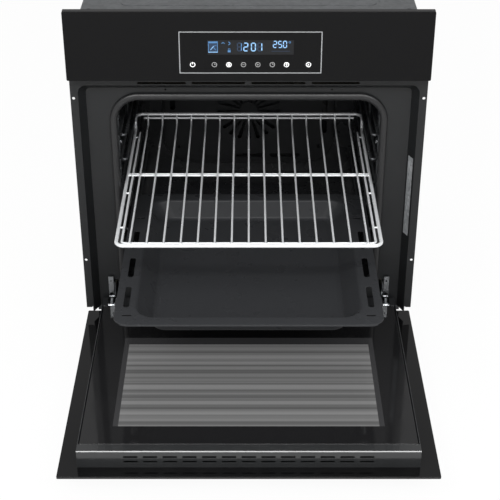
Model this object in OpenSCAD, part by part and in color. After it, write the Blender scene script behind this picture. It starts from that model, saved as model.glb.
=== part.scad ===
// Built-in electric wall oven with a drop-down glass door, shown open with its shelves drawn out.
// Millimetres. X is centred on the front, Y = 0 is the face of the side flanges and runs
// back into the cabinet, and Z = 0 is the underside of the casing.

/* [Front] */
// Width of the glass front
front_w = 595; // [590:1:600]
// Height from the underside of the casing to the top of the control panel
front_h = 595; // [592:1:600]
// Height of the control panel glass
panel_h = 118; // [116:1:120]
// Thickness of the glass panes of the front
glass_t = 4; // [3:0.5:5]
// Distance from the flange face to the face of the front glass
front_out = 23; // [22:0.5:24]
// Gap under the closed door
door_foot = 6; // [5:0.5:8]
// Gap between the closed door and the control panel
door_gap = 4; // [3:0.5:5]

/* [Door] */
// Opening angle of the door, 0 is closed
door_angle = 90; // [0:5:90]
// Pivot of the door, distance behind the flange face
hinge_y = 3.05; // [2:0.05:4]
// Height of the door pivot
hinge_z = 22.65; // [22:0.05:23.5]
// Width of the box on the back of the door glass
door_box_w = 535; // [530:1:537]
// Depth of that box behind the front glass
door_box_d = 32.4; // [32:0.1:32.6]
// Height of the cap along the top of the door box
cap_h = 17.5; // [16:0.5:20]
// Number of vent slots in each row of the cap
vent_count = 13; // [9:2:15]
// Distance between vent slots
vent_pitch = 30.6; // [28:0.1:32]
// Diameter of the handle bar
handle_d = 14; // [12:1:16]
// Height of the handle bar above the underside of the casing
handle_z = 418; // [416:1:422]
// Distance from the front glass to the middle of the handle bar
handle_out = 36; // [34:1:38]

/* [Casing] */
// Width of the casing
case_w = 558; // [554:1:560]
// Height of the casing
case_h = 567; // [560:1:570]
// Depth of the casing behind the flange face
case_d = 550.2; // [548:0.1:556]
// Thickness of the sheet steel
sheet = 1.2; // [1:0.1:1.5]
// Height of the plate between the oven cavity and the control compartment
divider_z = 461; // [460:0.5:461.5]

/* [Cavity] */
// Width of the oven mouth
mouth_w = 446; // [440:1:448]
// Lower edge of the oven mouth
mouth_bottom = 57; // [55:1:60]
// Upper edge of the oven mouth
mouth_top = 424.5; // [422:0.5:425]
// Corner radius of the oven mouth
mouth_r = 38; // [30:1:42]
// Width of the oven cavity
cavity_w = 472; // [470:1:474]
// Level of the cavity floor
cavity_bottom = 45; // [44:0.5:46]
// Level of the cavity roof
cavity_top = 430; // [428:0.5:431]
// Depth of the cavity behind the flange face
cavity_back = 500; // [500:0.5:502]
// Wall thickness of the enamelled cavity
muffle_t = 1.5; // [1:0.1:1.6]

/* [Shelves] */
// How far the wire rack stands out of its home place
rack_out = 207; // [205:1:208]
// How far the baking tray stands out of its home place
tray_out = 314.5; // [314:0.5:316]
// Width of the wire rack
rack_w = 436; // [434:1:436]
// Depth of the wire rack
rack_d = 465; // [460:1:465]
// Level of the rack frame wire
rack_z = 260; // [259.5:0.1:260.5]
// Number of wires that run from front to back
rack_wires = 15; // [11:2:15]
// Distance between those wires
rack_pitch = 27.5; // [26:0.5:28]
// Width of the baking tray
tray_w = 435; // [433:1:435]
// Depth of the baking tray over its rim
tray_d = 441; // [438:1:442]
// Level of the top of the tray rim
tray_z = 165; // [164.8:0.1:165.5]
// Depth of the tray basin
tray_deep = 35; // [30:1:38]

/* [Mounting] */
// Distance between the cabinet screws across the front
screw_span_x = 583.4; // [582:0.1:584]
// Distance between the cabinet screws up the front
screw_span_z = 314; // [312:1:316]
// Height of the middle of the screw pattern
screw_mid_z = 279; // [278:1:280]
// Diameter of the cabinet screw holes
screw_hole_d = 5; // [4.5:0.1:5.5]

/* [Hidden] */
$fn = 40;

half_w = front_w / 2;
face_y = -front_out;
glass_back = face_y + glass_t;
panel_z = front_h - panel_h;
case_x = case_w / 2;
inner_x = case_x - sheet;

// Stepped recess that the door box closes into
flange_t = 1.5;
flange_bottom = 20.7;
recess_x = 284;
recess_in_x = 273.5;
recess_top = 459.5;
recess_in_top = 446.5;
recess_y = 21;
recess_bottom = 12;

// Door box
door_top = panel_z - door_gap;
box_x = door_box_w / 2;
inner_face = glass_back + door_box_d;
cap_top = door_top - 22.5;
inner_glass_bottom = 40;
column_x = 229;
hinge_x = 251.5;

// Cavity
mouth_mid = (mouth_bottom + mouth_top) / 2;
mouth_h = mouth_top - mouth_bottom;
seal_w = 13;
seal_front = 14;
cavity_x = cavity_w / 2;
cavity_h = cavity_top - cavity_bottom;
cavity_mid = (cavity_top + cavity_bottom) / 2;
cavity_r = 42;
muffle_front = recess_y + flange_t;

// Convection fan
fan_z = 193;
fan_pocket_back = cavity_back + 20;
pocket_x = 181;
pocket_bottom = 64;
pocket_top = 330;
pocket_r = 62;
baffle_y = cavity_back - 14;
baffle_x = 173.8;
baffle_bottom = 80;
baffle_top = 316;
baffle_t = 1.2;
notch_r = 44;
notch_x = 172;
notch_z = 84;
pad_screw = [149, 104];
star_slots = 20;
element_d = 6.5;

// Side grids
rail_d = 5;
rail_x = 213.5;
rail_out_x = 224;
post_x = 228.6;
rail_pitch = 46.8;
rack_wire_d = 6;
tray_t = 1.2;
rack_rail_z = rack_z - rack_wire_d / 2 - 0.2 - rail_d / 2;
rail_levels = [for (i = [-3 : 2]) rack_rail_z + i * rail_pitch];
rail_front = 45;
rail_back = 455;
post_bottom = 88;
post_top = 372;

// Shelves in their drawn-out place
rack_home_back = cavity_back - 16;
rack_back = rack_home_back - rack_out;
rack_front = rack_back - rack_d;
tray_back = cavity_back - 16.5 - tray_out;
tray_front = tray_back - tray_d;
tray_mid = (tray_front + tray_back) / 2;
tray_lip = 3;
lip_x = rail_x - rail_d / 2 - 3;
rim_r = 24;
basin_x = 184;
basin_d = tray_d - 2 * rim_r;
basin_end = 12;
floor_x = 156;
slot_y = [-137, -44, 49];

// Cooling blower in the control compartment
blower_x = -10;
blower_y = 330;
blower_r = 75;
blower_floor = divider_z + sheet + 0.3;
blower_top = blower_floor + 37;
vent_slots = [[-185, -104], [-94.5, -6], [4, 94], [104, 184]];

// ---------- helpers ----------

// A block between two opposite corners
module block(x0, x1, y0, y1, z0, z1) translate([x0, y0, z0]) cube([x1 - x0, y1 - y0, z1 - z0]);

// A rounded rectangle centred on the origin, drawn flat
module round_rect(w, h, r) {
    square([w - 2 * r, h], center = true);
    square([w, h - 2 * r], center = true);
    for (sx = [-1, 1], sy = [-1, 1]) translate([sx * (w / 2 - r), sy * (h / 2 - r)]) circle(r);
}

// An outline drawn in X and Z, given thickness from y0 to y1
module front_slab(y0, y1) translate([0, y1, 0]) rotate([90, 0, 0]) linear_extrude(y1 - y0) children();

// An outline drawn in Y and Z, given thickness from x0 to x1
module side_slab(x0, x1) translate([x0, 0, 0]) rotate([90, 0, 90]) linear_extrude(x1 - x0) children();

// An outline drawn in X and Y, given thickness from z0 to z1
module flat_slab(z0, z1) translate([0, 0, z0]) linear_extrude(z1 - z0) children();

module rod_x(x0, x1, y, z, d) translate([x0, y, z]) rotate([0, 90, 0]) cylinder(d = d, h = x1 - x0);
module rod_y(y0, y1, x, z, d) translate([x, y1, z]) rotate([90, 0, 0]) cylinder(d = d, h = y1 - y0);
module rod_z(z0, z1, x, y, d) translate([x, y, z0]) cylinder(d = d, h = z1 - z0);

// A wire bend lying flat, with its centre at the origin, from angle a over a sweep
module flat_bend(r, d, a, sweep) rotate([0, 0, a]) rotate_extrude(angle = sweep) translate([r, 0]) circle(d = d);

module both_sides() {
    children();
    mirror([1, 0, 0]) children();
}

// Turns a door part from its closed place to the opening angle
module hung_open() translate([0, hinge_y, hinge_z]) rotate([door_angle, 0, 0])
    translate([0, -hinge_y, -hinge_z]) children();

// ---------- front and casing ----------

// Block with the sloped outline of the recess, grown by e
module recess_form(e) hull() {
    front_slab(-0.01, 0) recess_outline(recess_x + e, recess_top + e, 14 + e);
    front_slab(recess_y + e - 0.01, recess_y + e) recess_outline(recess_in_x + e, recess_in_top + e, 8 + e);
}
module recess_outline(x, top, r) {
    translate([0, (recess_bottom + top) / 2]) round_rect(2 * x, top - recess_bottom, r);
    translate([-x, recess_bottom]) square([2 * x, 40]);
}

module screw_pattern(d, y0, y1)
    for (sx = [-1, 1], sz = [-1, 1])
        rod_y(y0, y1, sx * screw_span_x / 2, screw_mid_z + sz * screw_span_z / 2, d);

module front_frame() color("#26272a") difference() {
    union() {
        both_sides() difference() {
            block(recess_x, half_w - 0.5, 0, flange_t, flange_bottom, recess_top);
            translate([recess_x - 1, -1, flange_bottom - 8]) rotate([0, -45, 0]) cube([9, 4, 9]);
        }
        // Strip under the control panel, one sheet thick so that only the side flanges meet the cabinet
        front_slab(0, sheet) difference() {
            translate([0.5 - half_w, recess_top - 20]) square([front_w - 1, panel_z - recess_top + 20]);
            recess_outline(recess_x, recess_top, 14);
        }
        difference() {
            recess_form(flange_t);
            recess_form(0);
        }
    }
    // The mouth, behind the seal
    front_slab(0, 40) translate([0, mouth_mid]) round_rect(mouth_w, mouth_h, mouth_r);
    // Cooling air leaves through four slots under the control panel
    for (s = vent_slots) front_slab(-1, 3) translate([(s[0] + s[1]) / 2, 463.6]) round_rect(s[1] - s[0], 4, 1.9);
    // Openings for the hinge arms and for the hooks beside them
    both_sides() {
        block(248, 255, 10, 40, 21, 41);
        block(238.5, 246.5, 10, 40, 30, 68);
    }
    screw_pattern(screw_hole_d, -1, 3);
    both_sides() rod_y(10, 40, 139.6, 443, 3);
}

module cavity_outline(e) translate([0, cavity_mid]) round_rect(cavity_w + 2 * e, cavity_h + 2 * e, cavity_r + e);

module pocket_outline(e) translate([0, (pocket_bottom + pocket_top) / 2])
    round_rect(2 * (pocket_x + e), pocket_top - pocket_bottom + 2 * e, pocket_r + e);

module cavity_muffle() color("#1d1e20") difference() {
    union() {
        front_slab(muffle_front, cavity_back + muffle_t) cavity_outline(muffle_t);
        front_slab(cavity_back, fan_pocket_back + muffle_t) pocket_outline(muffle_t);
    }
    front_slab(muffle_front - 1, cavity_back) cavity_outline(0);
    front_slab(cavity_back - 1, fan_pocket_back) pocket_outline(0);
    rod_y(fan_pocket_back - 1, fan_pocket_back + 5, 0, fan_z, 14);
    rod_y(cavity_back - 1, cavity_back + 5, lamp_x, lamp_z, 46);
    rod_y(cavity_back - 1, cavity_back + 5, probe_x, probe_z, 6);
    both_sides() rod_y(cavity_back - 1, cavity_back + 5, 25, grill_z, element_d + 1.5);
    both_sides() rod_y(fan_pocket_back - 1, fan_pocket_back + 5, ring_end_x, ring_end_z, element_d + 2);
}

// Hollow rubber tube seal pressed on the recess round the mouth
module door_seal() color("#1b1b1c") difference() {
    union() {
        front_slab(seal_front + 3, recess_y - 0.05) seal_outline(seal_w);
        front_slab(seal_front + 1, seal_front + 3.01) seal_outline(seal_w - 1.2);
        front_slab(seal_front, seal_front + 1.01) seal_outline(seal_w - 3.4);
    }
    front_slab(0, 40) seal_outline(0.6);
    front_slab(0, seal_front + 3) seal_outline(1.8);
    front_slab(0, seal_front + 1) seal_outline(4);
}
module seal_outline(e) translate([0, mouth_mid]) round_rect(mouth_w + 2 * e, mouth_h + 2 * e, mouth_r + e);

module base_plate() color("#a9adb0") difference() {
    union() {
        block(-inner_x + 0.2, inner_x - 0.2, 24, case_d - sheet - 0.3, 0, sheet);
        both_sides() block(inner_x - 1.4, inner_x - 0.2, 24, case_d - sheet - 0.3, 0, 14);
        block(-inner_x + 0.2, inner_x - 0.2, 24, 25.2, 0, 14);
    }
    for (x = [-160 : 40 : 160]) flat_slab(-1, 3) translate([x, 420]) round_rect(6, 60, 2.9);
}

// Side sheet with pressed stiffening beads and rear louvres, drawn for +X
module side_panel() color("#a9adb0") difference() {
    union() {
        block(inner_x, case_x, 24, case_d - sheet - 0.2, 0, case_h - sheet - 0.2);
        block(inner_x - 12, inner_x + 0.1, 24, 25.2, 15, flange_bottom + 18);
    }
    for (z = [90, 250, 410]) side_slab(inner_x + sheet / 2, case_x + 1)
        translate([290, z]) round_rect(420, 16, 7.9);
    for (i = [0 : 7]) side_slab(inner_x - 1, case_x + 1)
        translate([470, 478 + i * 10]) round_rect(60, 4, 1.9);
}
module left_side_panel() mirror([1, 0, 0]) side_panel();
module right_side_panel() side_panel();

module top_cover() color("#b4b8bb") difference() {
    union() {
        block(-case_x, case_x, -9.6, case_d - sheet - 0.2, case_h - sheet, case_h);
        block(-inner_x + 2, inner_x - 2, case_d - sheet - 1.4, case_d - sheet - 0.2, case_h - 14, case_h);
    }
    for (x = [-180 : 24 : 180]) flat_slab(case_h - 3, case_h + 1) translate([x, 430]) round_rect(5, 70, 2.4);
    flat_slab(case_h - sheet / 2, case_h + 1) difference() {
        translate([0, 200]) round_rect(440, 240, 20);
        translate([0, 200]) round_rect(430, 230, 15);
    }
}

module rear_cover() color("#a9adb0") difference() {
    union() {
        block(-case_x, case_x, case_d - sheet, case_d, 0, case_h);
        front_slab(case_d - sheet, case_d + 18) translate([0, fan_z]) round_rect(160, 150, 14);
    }
    front_slab(case_d - sheet - 1, case_d + 18 - sheet) translate([0, fan_z]) round_rect(160 - 2 * sheet, 150 - 2 * sheet, 13);
    for (z = [490 : 12 : 540], x = [-150 : 60 : 90]) front_slab(case_d - 5, case_d + 5)
        translate([x, z]) round_rect(46, 5, 2.4);
    front_slab(case_d - 5, case_d + 5) translate([200, 492]) round_rect(34, 22, 3);
    for (i = [-2 : 2]) front_slab(case_d, case_d + 25) translate([i * 24, fan_z]) round_rect(6, 90, 2.9);
}

// ---------- control panel ----------

module control_panel_glass() color("#0b0b0c")
    front_slab(face_y, glass_back) translate([0, panel_z + panel_h / 2]) round_rect(front_w, panel_h, 1.5);

module panel_carrier() color("#161617") difference() {
    block(-half_w + 0.5, half_w - 0.5, glass_back, -10, panel_z + 0.5, front_h - 0.2);
    block(-half_w + 4, half_w - 4, glass_back - 1, -13, panel_z + 4, front_h - 4);
    block(-120, 128, -14, -9, 490, 565);
}

module panel_bracket() color("#9ea2a5") difference() {
    union() {
        block(-case_x, case_x, -9.8, -8.6, panel_z + 1, case_h - sheet - 0.2);
        both_sides() block(inner_x, case_x, -9.8, 23.8, panel_z + 1, case_h - sheet - 0.2);
        both_sides() block(recess_x - 12, case_x, flange_t + 0.1, flange_t + 1.3, panel_z - 6, panel_z + 20);
    }
    block(-120, 128, -11, -7, 490, 562);
    both_sides() rod_y(-11, 5, 270, 486, 4);
}

trim_mid_x = 2.8;
trim_w = 230.7;
trim_bottom = 490.5;
trim_top = 562.2;
module display_trim() color("#c9ccce") difference() {
    front_slab(face_y - 0.4, face_y) translate([trim_mid_x, (trim_bottom + trim_top) / 2])
        round_rect(trim_w, trim_top - trim_bottom, 0.8);
    front_slab(face_y - 1, face_y + 1) translate([trim_mid_x, (trim_bottom + trim_top) / 2])
        round_rect(trim_w - 3.2, trim_top - trim_bottom - 3.2, 0.4);
}

module display_module() color("#202124") union() {
    block(-72, 78, glass_back + 0.2, -8, 517, 553);
    block(-80, 86, -8, -6.4, 512, 558);
    for (i = [0 : 3]) block(-50 + 28 * i, -34 + 28 * i, -6.4, -2, 520, 534);
}

module touch_board() color("#1f4a2e") union() {
    block(-105, 112, glass_back + 3, glass_back + 4.6, 495, 515);
    for (x = icon_x) translate([x, glass_back + 3, 506]) rotate([90, 0, 0]) cylinder(d = 11, h = 2.8);
}
icon_x = [-90.9, -55.7, -32.2, -8.5, 14.7, 38.2, 61.2, 96.8];

// ---------- control compartment ----------

module air_divider() color("#a9adb0") difference() {
    block(-inner_x + 0.2, inner_x - 0.2, recess_y + 4, case_d - sheet - 0.2, divider_z, divider_z + sheet);
    rod_z(divider_z - 1, divider_z + 3, 120, 300, 12);
    for (x = [-240 : 60 : 240]) flat_slab(divider_z - 1, divider_z + 3) translate([x, 500]) round_rect(30, 6, 2.9);
}

// Flat duct that widens from the blower to the four front slots
module air_guide() color("#8f9497") {
    guide_top = divider_z + sheet + 13;
    flat_slab(guide_top - sheet, guide_top)
        polygon([[-192, 3], [192, 3], [192, 30], [46, 248], [-66, 248], [-192, 30]]);
    flat_slab(divider_z + sheet + 0.1, guide_top - sheet + 0.01) {
        polygon([[-192, 26], [-190.8, 26], [-190.8, 30.3], [-64.8, 248], [-66, 248], [-192, 30.6]]);
        polygon([[192, 26], [190.8, 26], [190.8, 30.3], [44.8, 248], [46, 248], [192, 30.6]]);
    }
}

// Scroll housing of the cooling blower, open below on the divider and in front to the duct
module blower_housing() color("#8f9497") difference() {
    union() {
        rod_z(blower_floor, blower_top, blower_x, blower_y, 2 * blower_r);
        block(blower_x - 56, blower_x + 56, 249, blower_y, blower_floor, blower_top);
    }
    rod_z(blower_floor + sheet, blower_top - sheet, blower_x, blower_y, 2 * (blower_r - sheet));
    block(blower_x - 56 + sheet, blower_x + 56 - sheet, 249 + sheet, blower_y, blower_floor + sheet, blower_top - sheet);
    block(blower_x - 54, blower_x + 54, 248, 252, blower_floor + sheet, blower_floor + 12);
    rod_z(blower_top - 3, blower_top + 1, blower_x, blower_y, 76);
}

// Shaded-pole motor on three legs over the inlet, with its lower bearing
module blower_motor() color("#7d8184") difference() {
    union() {
        block(blower_x - 26, blower_x + 26, blower_y - 30, blower_y + 30, blower_top + 8, blower_top + 30);
        rod_z(blower_top + 4, blower_top + 8.01, blower_x, blower_y, 22);
        for (a = [30, 150, 270]) translate([blower_x, blower_y, 0]) rotate([0, 0, a]) {
            block(10, 52, -4, 4, blower_top + 4, blower_top + 5.5);
            block(44, 52, -4, 4, blower_top + 0.1, blower_top + 5.5);
        }
        block(blower_x + 20, blower_x + 44, blower_y - 12, blower_y + 12, blower_top + 11, blower_top + 27);
    }
    rod_z(blower_top + 3, blower_top + 34, blower_x, blower_y, 6.4);
}

module blower_wheel() color("#b9bdc0") {
    wheel_bottom = blower_floor + 4;
    difference() {
        union() {
            rod_z(wheel_bottom, wheel_bottom + 1.2, blower_x, blower_y, 116);
            rod_z(wheel_bottom, wheel_bottom + 12, blower_x, blower_y, 18);
            rod_z(wheel_bottom, blower_top + 33, blower_x, blower_y, 6);
            for (i = [0 : 23]) translate([blower_x, blower_y, 0]) rotate([0, 0, i * 15])
                block(44, 57, -0.6, 0.6, wheel_bottom + 1, wheel_bottom + 26);
            difference() {
                rod_z(wheel_bottom + 25, wheel_bottom + 26.5, blower_x, blower_y, 116);
                rod_z(wheel_bottom + 24, wheel_bottom + 28, blower_x, blower_y, 86);
            }
        }
        for (a = [0 : 60 : 300]) translate([blower_x, blower_y, 0]) rotate([0, 0, a])
            rod_z(wheel_bottom - 1, wheel_bottom + 2, 28, 0, 12);
    }
}

module power_board() color("#2c5b3a") {
    board_z = divider_z + sheet + 8;
    block(-245, -115, 330, 450, board_z, board_z + 1.6);
    for (x = [-238, -122], y = [337, 443]) rod_z(divider_z + sheet, board_z + 0.1, x, y, 6);
    for (i = [0 : 3]) block(-236 + i * 27, -218 + i * 27, 340, 362, board_z + 1.5, board_z + 17);
    block(-230, -185, 385, 430, board_z + 1.5, board_z + 30);
    for (i = [0 : 2]) rod_z(board_z + 1.5, board_z + 22, -165 + i * 17, 400, 12);
}

module terminal_block() color("#d9d6cb") difference() {
    union() {
        block(172, 228, 486, 532, divider_z + sheet, divider_z + sheet + 22);
        block(186, 214, 532, case_d + 4, divider_z + sheet + 21, divider_z + sheet + 37);
        block(180, 220, 520, 532.1, divider_z + sheet + 10, divider_z + sheet + 38);
    }
    for (i = [0 : 3]) rod_z(divider_z + sheet + 14, divider_z + sheet + 30, 179 + i * 14, 500, 7);
    rod_y(525, case_d + 6, 200, divider_z + sheet + 29, 9);
}

module thermal_cutout() color("#2b2b2d") {
    rod_z(divider_z + sheet, divider_z + sheet + 9, 120, 300, 17);
    rod_z(divider_z + sheet, divider_z + sheet + 1.2, 120, 300, 26);
    for (s = [-1, 1]) block(118.5 + s * 5, 121.5 + s * 5, 299.6, 300.4, divider_z + sheet + 8.9, divider_z + sheet + 16);
}

module insulation_wrap() color("#d8d2bd") difference() {
    front_slab(100, cavity_back - 2) translate([0, 233]) round_rect(526, 448, 50);
    front_slab(99, cavity_back) translate([0, 232]) round_rect(480, 402, 44);
}

module insulation_rear() color("#d8d2bd") difference() {
    front_slab(fan_pocket_back + 3, 545) translate([0, 233]) round_rect(526, 448, 50);
    front_slab(fan_pocket_back, 548) translate([0, fan_z]) round_rect(120, 120, 8);
    rod_y(fan_pocket_back, 548, lamp_x, lamp_z, 56);
    both_sides() rod_y(fan_pocket_back, 548, ring_end_x, ring_end_z, 16);
}

// ---------- heating, fan and light ----------

grill_z = 415;
bottom_heat_z = 37.5;
// A tubular heater bent to and fro in one flat layer, with both ends at the back
module heater(z, back) translate([0, 0, z]) both_sides() {
    rod_y(150, back, 25, 0, element_d);
    translate([55, 150, 0]) flat_bend(30, element_d, 180, 180);
    rod_y(150, 430, 85, 0, element_d);
    translate([115, 430, 0]) flat_bend(30, element_d, 0, 180);
    rod_y(115, 430, 145, 0, element_d);
    translate([115, 115, 0]) flat_bend(30, element_d, 270, 90);
    rod_x(-0.1, 115, 85, 0, element_d);
}
module grill_element() color("#4a4b4d") {
    heater(grill_z, cavity_back + 16);
    block(-42, 42, cavity_back - 1.6, cavity_back - 0.1, grill_z - 11, grill_z + 11);
}
module bottom_element() color("#4a4b4d") {
    heater(bottom_heat_z, cavity_back + 10);
    block(-42, 42, cavity_back + 4, cavity_back + 5.5, bottom_heat_z - 5.5, bottom_heat_z + 5.5);
}

ring_r = 90;
ring_end_x = 12;
ring_end_z = fan_z + sqrt(ring_r * ring_r - ring_end_x * ring_end_x);
ring_gap_angle = asin(ring_end_x / ring_r);
module ring_element() color("#4a4b4d") {
    translate([0, cavity_back + 8, fan_z]) rotate([90, 0, 0])
        flat_bend(ring_r, element_d, 90 + ring_gap_angle, 360 - 2 * ring_gap_angle);
    both_sides() rod_y(cavity_back + 4, fan_pocket_back + 14, ring_end_x, ring_end_z, element_d + 1);
}

// Outline of the fan baffle with its two cut-in lower corners, shrunk by e
module baffle_outline(e) difference() {
    translate([0, (baffle_bottom + baffle_top) / 2])
        round_rect(2 * (baffle_x - e), baffle_top - baffle_bottom - 2 * e, 10);
    for (s = [-1, 1]) translate([s * notch_x, notch_z]) circle(notch_r + e);
}
// One radial slot of the air inlet, wider at its outer end
module star_slot() {
    polygon([[20, -1.8], [63, -4.3], [63, 4.3], [20, 1.8]]);
    translate([20, 0]) circle(1.8);
    translate([63, 0]) circle(4.3);
}
module fan_baffle() color("#232427") difference() {
    union() {
        difference() {
            front_slab(baffle_y, cavity_back - 0.2) baffle_outline(0);
            front_slab(baffle_y + baffle_t, cavity_back) baffle_outline(baffle_t);
        }
        front_slab(cavity_back - 1.4, cavity_back - 0.2) difference() {
            pocket_outline(-1.5);
            baffle_outline(0.5);
        }
    }
    translate([0, 0, fan_z]) for (i = [0 : star_slots - 1])
        front_slab(baffle_y - 1, baffle_y + 3) rotate([0, 0, i * 360 / star_slots]) star_slot();
    front_slab(baffle_y - 1, baffle_y + 3) {
        translate([-159, 242]) round_rect(11, 96, 5.4);
        translate([159, 215]) round_rect(11, 148, 5.4);
        translate([4, 90]) round_rect(62, 8, 3.9);
        translate([76.5, 90]) round_rect(65, 8, 3.9);
    }
    both_sides() rod_y(cavity_back - 3, cavity_back + 3, pad_screw[0], pad_screw[1], 4);
}

module fan_wheel() color("#9a9da0") {
    difference() {
        union() {
            rod_y(cavity_back + 10.8, cavity_back + 12, 0, fan_z, 144);
            rod_y(cavity_back - 8, cavity_back + 16, 0, fan_z, 20);
            for (i = [0 : 7]) translate([0, 0, fan_z]) rotate([0, i * 45, 0])
                block(22, 70, cavity_back - 8, cavity_back + 11, -0.6, 0.6);
        }
        for (i = [0 : 7]) translate([0, 0, fan_z]) rotate([0, i * 45 + 22.5, 0])
            rod_y(cavity_back, cavity_back + 15, 46, 0, 14);
        rod_y(cavity_back - 9, cavity_back + 17, 0, fan_z, 8);
    }
    rod_y(cavity_back - 10, cavity_back + 58, 0, fan_z, 8);
}

module fan_motor() color("#85898c") difference() {
    union() {
        block(-52, 52, fan_pocket_back + 4.4, fan_pocket_back + 5.9, fan_z - 16, fan_z + 16);
        block(-32, 32, fan_pocket_back + 8, fan_pocket_back + 34, fan_z - 30, fan_z + 30);
        rod_y(fan_pocket_back + 5.8, fan_pocket_back + 8.1, 0, fan_z, 26);
        block(-12, 12, fan_pocket_back + 11, fan_pocket_back + 30, fan_z + 29, fan_z + 48);
        both_sides() rod_y(fan_pocket_back + 1.6, fan_pocket_back + 4.5, 46, fan_z, 8);
    }
    rod_y(fan_pocket_back + 1, fan_pocket_back + 40, 0, fan_z, 8.4);
}

lamp_x = -172;
lamp_z = 372;
module lamp_housing() color("#c8c8c4") difference() {
    union() {
        rod_y(cavity_back - 2, cavity_back - 0.1, lamp_x, lamp_z, 58);
        rod_y(cavity_back - 2, cavity_back + 42, lamp_x, lamp_z, 45);
    }
    rod_y(cavity_back - 3, cavity_back + 40, lamp_x, lamp_z, 41);
    rod_y(cavity_back + 30, cavity_back + 45, lamp_x, lamp_z, 14.2);
}
module lamp_bulb() color("#efe7c8") {
    translate([lamp_x, cavity_back + 8, lamp_z]) sphere(d = 24);
    rod_y(cavity_back + 8, cavity_back + 44, lamp_x, lamp_z, 14);
}
module lamp_glass() color("#d8e0e2") translate([lamp_x, cavity_back - 2.2, lamp_z]) rotate([90, 0, 0]) difference() {
    cylinder(d1 = 56, d2 = 46, h = 13);
    translate([0, 0, -1]) cylinder(d1 = 51, d2 = 40, h = 11.5);
}

probe_x = 188;
probe_z = 392;
module temperature_probe() color("#c4c7c9") {
    rod_y(cavity_back - 70, cavity_back + 14, probe_x, probe_z, 4);
    rod_y(cavity_back - 2, cavity_back - 0.1, probe_x, probe_z, 14);
}

// ---------- side grids ----------

// Ladder of wire rails that carries the shelves, drawn for +X
module side_grid() color("#c8cbcd") {
    for (z = rail_levels) {
        for (x = [rail_x, rail_out_x]) rod_y(rail_front + 5, rail_back - 5, x, z, rail_d);
        for (y = [rail_front + 5, rail_back - 5]) translate([(rail_x + rail_out_x) / 2, y, z])
            flat_bend((rail_out_x - rail_x) / 2, rail_d, y < 200 ? 180 : 0, 180);
    }
    for (y = [70, 250, 430]) rod_z(post_bottom, post_top, post_x, y, rail_d);
    for (z = [post_bottom, post_top]) rod_y(70, 430, post_x, z, rail_d);
}
module left_side_grid() mirror([1, 0, 0]) side_grid();
module right_side_grid() side_grid();

module grid_studs() color("#b9bcbe") both_sides() for (y = [76.5, 423.5]) {
    rod_x(post_x - 3.6, cavity_x - 0.05, y, 320, 7);
    rod_x(post_x - 5, post_x - 3.5, y, 320, 10);
}

// ---------- door hinges on the casing side ----------

// Pocket behind the frame that the hinge arm hooks into, drawn for +X
module hinge_receiver() color("#8c9093") difference() {
    block(hinge_x - 6.5, hinge_x + 6.5, recess_y + flange_t + 0.1, 84, 17.5, 60);
    block(hinge_x - 5, hinge_x + 5, recess_y, 82.5, 19, 61);
}
module left_hinge_receiver() mirror([1, 0, 0]) hinge_receiver();
module right_hinge_receiver() hinge_receiver();

// Flat arm from the receiver to the door pivot, drawn for +X
module hinge_arm() color("#c6c9cb") difference() {
    side_slab(hinge_x - 2, hinge_x + 2) {
        translate([hinge_y, hinge_z]) circle(6);
        polygon([[hinge_y + 1, hinge_z - 5.9], [24, 22.2], [78, 22.2], [78, 30], [66, 44], [52, 44], [52, 36],
            [24, 36], [12, 33], [hinge_y - 2, hinge_z + 5.6]]);
    }
    rod_x(hinge_x - 3, hinge_x + 3, hinge_y, hinge_z, 8.1);
    rod_x(hinge_x - 3, hinge_x + 3, clip_y, clip_z, 4.2);
}
module left_hinge_arm() mirror([1, 0, 0]) hinge_arm();
module right_hinge_arm() hinge_arm();

// Door pivots, and the small pins that the lock clips turn on
module hinge_pins() color("#d5d7d8") both_sides() {
    rod_x(hinge_x - 8.5, hinge_x + 8.5, hinge_y, hinge_z, 8);
    rod_x(hinge_x - 4.6, hinge_x + 4.6, clip_y, clip_z, 4);
}

clip_y = 18;
clip_z = 33;
// Bent steel clip that locks the hinge for taking the door off, drawn for +X
module lock_clip() color("#d9dbdc") difference() {
    union() {
        block(hinge_x - 4.5, hinge_x + 4.5, 14.5, 15.9, 43, 77);
        for (x = [hinge_x - 4.5, hinge_x + 3.1]) {
            block(x, x + 1.4, 14.5, 20, 37, 60);
            rod_x(x, x + 1.4, clip_y - 0.5, clip_z + 1, 5);
            block(x, x + 1.4, 15.5, 20, clip_z, 38);
        }
    }
    rod_x(hinge_x - 6, hinge_x + 6, clip_y, clip_z, 4.2);
    rod_y(10, 18, hinge_x, 68, 3);
}
module left_lock_clip() mirror([1, 0, 0]) lock_clip();
module right_lock_clip() lock_clip();

label_angle = atan2(recess_x - recess_in_x, recess_y);
// Blank foil plate on the sloped wall of the recess
module rating_label() color("#c9cbcb")
    translate([(recess_x + recess_in_x) / 2 - 0.1, recess_y / 2, 246]) rotate([0, 0, label_angle])
        translate([-0.45, -7, -76]) cube([0.4, 14, 152]);

// Sheet metal screws of the top cover, the rear cover and the baffle
module casing_screws() color("#c9ccce") {
    for (x = [-265, 0, 265], z = [20, 548]) rod_y(case_d, case_d + 2.2, x, z, 8);
    for (x = [-265, 265], y = [60, 300, 500]) rod_z(case_h, case_h + 2, x, y, 8);
    both_sides() rod_y(cavity_back - 3.4, cavity_back - 1.5, pad_screw[0], pad_screw[1], 7);
}

// ---------- door, drawn closed and hung open ----------

module door_outer_glass() color("#0b0b0c") hung_open() difference() {
    front_slab(face_y, glass_back) translate([0, (door_foot + door_top) / 2])
        round_rect(front_w, door_top - door_foot, 1.5);
    both_sides() rod_y(face_y - 1, glass_back + 1, 200, handle_z, 6);
}

module door_middle_glass() color("#7d8a86") hung_open()
    block(-column_x + 1, column_x - 1, -6, -3, inner_glass_bottom, cap_top - cap_h - 3);

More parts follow.
